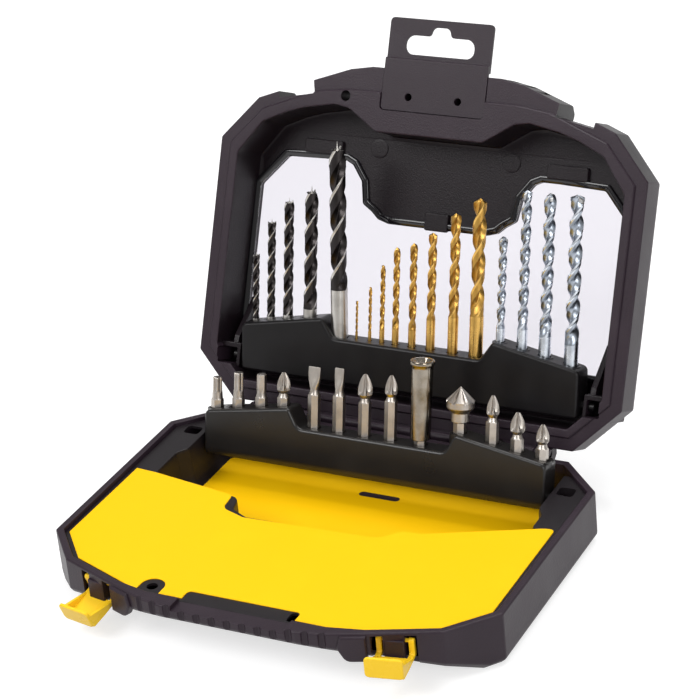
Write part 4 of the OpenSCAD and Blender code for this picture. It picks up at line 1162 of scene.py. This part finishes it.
# Drills: a plain shank, two twisted flutes with raised margins, and each kind's own point.
# Lead and tip go by the diameter, margin and land are angles, shank is a share of the length.
drillKinds = {
    "wood": {"lead": 4.6, "web": 0.3, "margin": 11, "land": 92, "relief": 0.93, "shank": 0.03, "tip": 0,
             "spike": 0.5, "slot": "wood_drill_black", "finishes": ("fluteBlack", "brightSteel")},
    "metal": {"lead": 5.0, "web": 0.24, "margin": 12, "land": 74, "relief": 0.95, "shank": 0.16, "tip": 0.31,
              "spike": 0, "slot": "gold_coating", "finishes": ("goldShadedFlute", "goldCoat")},
    "masonry": {"lead": 3.9, "web": 0.4, "margin": 30, "land": 60, "relief": 0.9, "shank": 0.12, "tip": 0.2,
                "spike": 0, "slot": "zinc_drill", "finishes": ("zincShadedFlute", "zinc")},
}
plainShanks = {("wood", 8): 5, ("wood", 10): 28}  # lengths of the shanks that differ from their kind's
thickShank = 1.6  # metal drills over 5 mm have a longer plain shank
drillLeans = {("wood", 10): -2}  # a drill that leans a little in its socket
sectionPoints = 36
stepsPerTurn = 20


def fluteSection(kind, radius, depth):
    # radii round one section, starting at a margin; depth runs from 0, round, to 1, full flutes
    points = []
    for k in range(sectionPoints):
        a = (360 * k / sectionPoints) % 180
        if a < kind["margin"]:
            share = 1.0
        elif a < kind["land"]:
            share = kind["relief"]
        else:
            t = (a - kind["land"]) / (180 - kind["land"])
            dip = math.sin(math.pi * t) ** 0.75
            share = kind["relief"] + (1 - kind["relief"]) * t - (1 - kind["web"] - 0.05) * dip
        points.append(radius * (1 - (1 - share) * depth))
    return points


def shankLength(kindName, diameter, out):
    length = plainShanks.get((kindName, diameter), out * drillKinds[kindName]["shank"])
    return length * thickShank if kindName == "metal" and diameter > 5 else length


def twistDrill(bm, kindName, diameter, out):
    kind, radius = drillKinds[kindName], diameter / 2
    shank, tip, spike = shankLength(kindName, diameter, out), diameter * kind["tip"], diameter * kind["spike"]
    top, lead = out - spike, kind["lead"] * diameter
    span = top - tip - shank
    steps = max(8, int(span / lead * stepsPerTurn))
    # each row holds its radii, its height and how far it is turned
    rows = [([radius] * sectionPoints, -12, 0), ([radius] * sectionPoints, shank, 0)]
    for k in range(1, steps + 1):
        z = shank + span * k / steps
        depth = min(1, (z - shank) / (1.3 * diameter))
        rows.append((fluteSection(kind, radius, depth), z, (z - shank) / lead * 360))
    for share in (0.75, 0.5, 0.25, 0.06) if tip else ():
        z = top - tip * share
        rows.append(([r * share for r in fluteSection(kind, radius, 1)], z, (z - shank) / lead * 360))
    last = None
    for radii, z, angle in rows:
        angles = [math.radians(360 * k / sectionPoints + angle) for k in range(sectionPoints)]
        ring = addRing(bm, [(r * math.cos(a), r * math.sin(a), z) for r, a in zip(radii, angles)])
        if last:
            for i in range(sectionPoints):
                j = (i + 1) % sectionPoints
                # margins and shank take the second finish and the rest the first, which for the metal and
                # masonry drills is their coating darkened as painted shade
                marginOrShank = z <= shank + 1e-6 or (360 * i / sectionPoints) % 180 < kind["margin"]
                addFace(bm, (last[i], last[j], ring[j], ring[i]), 1 if marginOrShank else 0)
        else:
            fillFlat(bm, [ring], 1)
        last = ring
    if spike:
        addSpurs(bm, kind, last, diameter, top, math.radians((top - shank) / lead * 360))
    else:
        fillFlat(bm, [last], 0)


def addSpurs(bm, kind, last, diameter, top, turned):
    # spurs at the margins, then the centre spike
    ring = []
    for k, v in enumerate(last):
        spur = (360 * k / sectionPoints) % 180 < kind["margin"] * 1.6
        ring.append(bm.verts.new((v.co.x * 0.97, v.co.y * 0.97, top + (0.16 * diameter if spur else 0))))
    joinRings(bm, last, ring)
    r = 0.08 * diameter
    core = addRing(bm, [(r * math.cos(a + turned), r * math.sin(a + turned), top - 0.05 * diameter)
                        for a in anglesRound(sectionPoints)])
    joinRings(bm, ring, core, finish=1)
    tip = addRing(bm, [(v.co.x * 0.12, v.co.y * 0.12, top + kind["spike"] * diameter) for v in core])
    joinRings(bm, core, tip, finish=1)
    fillFlat(bm, [tip], 1)


def makeDrill(kindName, index, diameter, x, out):
    kind = drillKinds[kindName]
    # the drill that measures 5.2 mm goes by the name of 5
    label = ("%g" % (5 if diameter == 5.2 else diameter)).replace(".", "_")
    node = "%s_drill_%s" % (kindName, label)
    lean, turned = drillLeans.get((kindName, diameter), 0), 37 * index + 20
    bm = bmesh.new()
    twistDrill(bm, kindName, diameter, out)
    place = onRack("drill", x) @ turn(lean, "Y") @ turn(turned, "Z")
    piece = meshObject(kindName + "Drill" + label, bm, place)
    dress(piece, node, [finishes[finish] for finish in kind["finishes"]], [node], angle=30)
    if kindName == "masonry":
        # the brazed plate: a roof-shaped slip a little wider than the body
        r, thick = diameter / 2, 0.24 * diameter
        wide, shoulder = r * 1.06, 0.9 - 0.3 * r
        plate = rounded([(-wide, -2), (wide, -2), (wide, shoulder), (0, 2.0), (-wide, shoulder)], 0.2, 2)
        place = onRack("drill", x, out - 2.2) @ turn(turned + 30, "Z") @ turn(90, "X")
        tip = newPrism("carbideTip" + label, place, plate, -thick / 2, thick / 2, 0.12, 0.12, 1)
        dress(tip, node, [finishes["carbide"]], ["carbide_tip_" + label], angle=30)


for kindName, drills in (("wood", woodDrills), ("metal", metalDrills), ("masonry", masonryDrills)):
    for index, drill in enumerate(drills):
        makeDrill(kindName, index, *drill)
print("stage: drills")


# Bits: a six-sided shank, a neck and a shaped tip, each built ring by ring
bitPoints = 48
hexFlat = 6.35 / 2  # a quarter of an inch across the flats


def rowOf(z, radiusAt, count=bitPoints):
    return [(radiusAt(a) * math.cos(a), radiusAt(a) * math.sin(a), z) for a in anglesRound(count)]


def roundRow(radius, z):
    return rowOf(z, lambda a: radius)


def hexRow(flat, z, cap=1e9):
    def radiusAt(a):
        folded = (math.degrees(a) + 30) % 60 - 30
        return min(flat / math.cos(math.radians(folded)), cap)

    return rowOf(z, radiusAt)


def lobeRow(radius, z, lobes, depth, power=1.0, phase=0):
    return rowOf(z, lambda a: radius * (1 - depth * (0.5 - 0.5 * math.cos(lobes * a + phase)) ** power))


def flatRow(halfWide, halfThick, z, power):
    def bulge(value):
        return math.copysign(abs(value) ** (2 / power), value)

    return [(halfWide * bulge(math.cos(a)), halfThick * bulge(math.sin(a)), z)
            for a in anglesRound(bitPoints)]


def toothRow(radius, z, teeth, depth):
    def radiusAt(a):
        t = (teeth * a / (2 * math.pi)) % 1
        return radius * (1 - depth * max(0, 1 - t / 0.35))

    return rowOf(z, radiusAt, bitPoints * 2)


def doubled(row):
    # a row with a point more in the middle of each side
    result = []
    for p, q in zip(row, row[1:] + row[:1]):
        result += [p, tuple((a + b) / 2 for a, b in zip(p, q))]
    return result


def shankRows(seat, length):
    return [hexRow(hexFlat - 0.5, -seat, 3.0), hexRow(hexFlat, -seat + 0.6), hexRow(hexFlat, length - 0.9),
            hexRow(hexFlat, length - 0.3, hexFlat + 0.25), hexRow(hexFlat, length, hexFlat - 0.05)]


def crossTip(start, end, size):
    # a waist, then four wings that widen past the body and run to a point
    size, base = size * 1.2, start + 2.0
    steps = [(0.08, 0.8, 0.0), (0.16, 0.95, 0.06), (0.28, 1.0, 0.5), (0.45, 0.99, 0.76),
             (0.62, 0.85, 0.8), (0.8, 0.62, 0.76), (0.94, 0.38, 0.6), (1.0, 0.24, 0.35)]
    return [roundRow(2.7, start + 1.2), roundRow(2.45, base)] + [
        lobeRow(size * r, base + (end - base) * share, 4, depth, 0.6, math.radians(260))
        for share, r, depth in steps]


def starTip(start, end, size):
    return [roundRow(blend(3.1, size, 0.5), start + 1.4), roundRow(size, start + 3.0),
            lobeRow(size, start + 3.8, 6, 0.04), lobeRow(size, start + 5.0, 6, 0.2),
            lobeRow(size * 0.97, end - 0.5, 6, 0.2), lobeRow(size * 0.85, end, 6, 0.2)]


def hexTip(start, end, size):
    return [roundRow(blend(3.1, size, 0.5), start + 1.4), roundRow(size * 1.1, start + 3.0),
            hexRow(size, start + 4.4), hexRow(size * 0.97, end - 0.4), hexRow(size * 0.84, end)]


def slotTip(start, end, wide):
    # a round neck that spreads and thins into the blade
    neck, base = 2.5, start + 3.2
    steps = [(0.15, blend(neck, wide, 0.35), neck * 0.92, 2.3), (0.35, blend(neck, wide, 0.8), neck * 0.7, 3),
             (0.55, wide, neck * 0.48, 4.5), (0.75, wide, neck * 0.33, 7), (0.97, wide, 0.42, 10),
             (1.0, wide - 0.15, 0.3, 10)]
    return [roundRow(neck + 0.3, start + 1.0), roundRow(neck, start + 2.0), roundRow(neck, base)] + [
        flatRow(half, thick, base + (end - base) * share, power) for share, half, thick, power in steps]


bitTips = {"star": starTip, "hex": hexTip, "slot": slotTip, "cross": crossTip}


def steelPiece(name, rows, x, body, node, finish="bitNickel"):
    bm = bmesh.new()
    closedStack(bm, rows)
    piece = meshObject(name, bm, onRack("bit", x))
    dress(piece, body, [finishes[finish]], [node], angle=28)


def makeBit(node, seat, x, out, shankShare, kind, size):
    shank = out * shankShare
    name = "".join(word if i == 0 else word.capitalize() for i, word in enumerate(node.split("_")))
    steelPiece(name, shankRows(seats[seat], shank) + bitTips[kind](shank, out, size), x, node, node)


def makeHolder():
    x, out, r, mouth = holder["x"], holder["out"], holder["radius"], holder["mouth"]
    sleeve = [(r - 0.5, 3.2), (r, 3.6), (r + 0.15, out * 0.5), (r + 0.45, out - 5), (r + 0.6, out - 3.2),
              (mouth - 0.25, out - 2.5), (mouth, out - 2.0), (mouth, out - 0.8), (mouth - 0.3, out - 0.2),
              (mouth - 0.8, out), (5.2, out - 0.1), (4.9, out - 0.8)]
    bore = [hexRow(hexFlat + 0.3, out - 2.4), hexRow(hexFlat + 0.15, out - 10)]
    steelPiece("holderSleeve", [roundRow(*step) for step in sleeve] + bore, x, "bit_holder", "holder_sleeve",
               "chrome")
    shank = [hexRow(hexFlat - 0.4, -seats["long"], 3.1), hexRow(hexFlat, -13.4), hexRow(hexFlat, 3.3)]
    steelPiece("holderShank", shank, x, "bit_holder", "holder_shank")
    magnet = [(2.3, out - 10.3), (2.5, out - 10.1), (2.5, out - 9.3), (2.2, out - 9.1)]
    steelPiece("holderMagnet", [roundRow(*step) for step in magnet], x, "bit_holder", "holder_magnet",
               "magnet")


def makeCountersink():
    out, wide, base = sink["out"], 7.9, 18.2
    shank = [hexRow(hexFlat - 0.4, -seats["short"], 3.1), hexRow(hexFlat, -6.0), hexRow(hexFlat, 6.0),
             hexRow(hexFlat, 6.5, hexFlat + 0.2)]
    collar = [(4.8, 6.2), (5.1, 6.7), (5.1, 11.4), (5.3, 11.8), (7.4, 13.8), (wide, 14.7), (wide, 17.4)]
    rows = [doubled(row) for row in shank + [roundRow(*step) for step in collar]]
    for share, depth in ((0.0, 0.2), (0.2, 0.46), (0.5, 0.52), (0.75, 0.5), (0.95, 0.25)):
        rows.append(toothRow(wide * (1 - share) + 0.15, base + (out - base) * share, 7, depth))
    rows.append(toothRow(0.1, out, 7, 0))
    steelPiece("countersink", rows, sink["x"], "countersink", "countersink")


for bit in bits:
    makeBit(*bit)
makeHolder()
makeCountersink()
print("stage: bits")


# The hinge pins keep their solid
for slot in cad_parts["hinge_pins"].material_slots:
    slot.material = finishes["pinSteel"]


# Studio: a pale floor, a white backdrop and soft lamps
studio = {
    "sky": 0.42, "floorColour": (0.5, 0.5, 0.5, 1), "floorLift": 0.66, "halfFloor": 6,
    # each lamp's name, place, aim, size in metres and power
    "lamps": [("keyLamp", (-0.75, -1.0, 1.35), (0, 0, 0.06), (0.9, 0.9), 17),
              ("fillLamp", (1.2, -1.0, 0.8), (0, 0, 0.08), (0.8, 0.8), 9.5),
              ("topLamp", (0.1, 0.55, 1.5), (0, 0.05, 0.05), (1.3, 0.7), 14.5)],
}
view = {"azimuth": 28.98, "elevation": 27.15, "roll": -5.83, "distance": 1.4796,
        "target": (-0.0252, 0.08525, 0.0792), "focalPixels": 2594.5, "pixelsWide": 700, "sensor": 36}


def seenDirectly(tree, kinds):
    # 1 for rays of any of these kinds
    path = addNode(tree, "ShaderNodeLightPath")
    seen = path.outputs[kinds[0]]
    for kind in kinds[1:]:
        seen = mathOn(tree, "MAXIMUM", seen, path.outputs[kind])
    return seen


def makeFloor():
    bm = bmesh.new()
    half = studio["halfFloor"]
    addFace(bm, addRing(bm, [(-half, -half, 0), (half, -half, 0), (half, half, 0), (-half, half, 0)]))
    floor = meshObject("studioFloor", bm, Matrix.Identity(4))
    material, tree, shader = surface("paleFloor", {
        "Base Color": studio["floorColour"], "Roughness": 0.9, "Specular IOR Level": 0.1})
    seen = seenDirectly(tree, ("Is Camera Ray", "Is Transmission Ray", "Is Glossy Ray"))
    lift = mathOn(tree, "MULTIPLY", seen, studio["floorLift"])
    glow = addNode(tree, "ShaderNodeEmission", None, Color=(1, 1, 1, 1), Strength=lift)
    both = addNode(tree, "ShaderNodeAddShader", None, _0=shader.outputs[0], _1=glow.outputs[0])
    tree.links.new(both.outputs[0], tree.nodes["Material Output"].inputs["Surface"])
    floor.data.materials.append(material)


def makeWorld():
    world = bpy.data.worlds.new("softStudio")
    scene.world = world
    world.use_nodes = True
    tree = world.node_tree
    background = tree.nodes["Background"]
    background.inputs["Color"].default_value = (1, 1, 1, 1)
    seen = seenDirectly(tree, ("Is Camera Ray", "Is Transmission Ray"))
    tree.links.new(remap(tree, seen, 0.0, 1.0, studio["sky"], 1.0), background.inputs["Strength"])


def addLamp(name, place, aim, size, power):
    light = bpy.data.lights.new(name, "AREA")
    light.shape, light.size, light.size_y, light.energy = "RECTANGLE", *size, power
    lamp = bpy.data.objects.new(name, light)
    scene.collection.objects.link(lamp)
    lamp.location = place
    lamp.rotation_euler = (Vector(aim) - Vector(place)).to_track_quat("-Z", "Y").to_euler()


def makeCamera():
    azimuth, elevation, roll = (math.radians(view[key]) for key in ("azimuth", "elevation", "roll"))
    flat = math.cos(elevation)
    back = Vector((math.sin(azimuth) * flat, -math.cos(azimuth) * flat, math.sin(elevation)))
    level = Vector((math.cos(azimuth), math.sin(azimuth), 0))
    upright = level.cross(-back)
    right = math.cos(roll) * level + math.sin(roll) * upright
    up = -math.sin(roll) * level + math.cos(roll) * upright
    data = bpy.data.cameras.new("photoCamera")
    data.sensor_width, data.lens = view["sensor"], view["focalPixels"] / view["pixelsWide"] * view["sensor"]
    data.clip_start, data.clip_end = 0.05, 40
    camera = bpy.data.objects.new("photoCamera", data)
    scene.collection.objects.link(camera)
    turnTo = Matrix((right, up, back)).transposed().to_4x4()
    camera.matrix_world = Matrix.Translation(Vector(view["target"]) + back * view["distance"]) @ turnTo
    scene.camera = camera


makeFloor()
makeWorld()
for lamp in studio["lamps"]:
    addLamp(*lamp)
makeCamera()
scene.view_settings.view_transform = "Standard"
print("stage: studio")
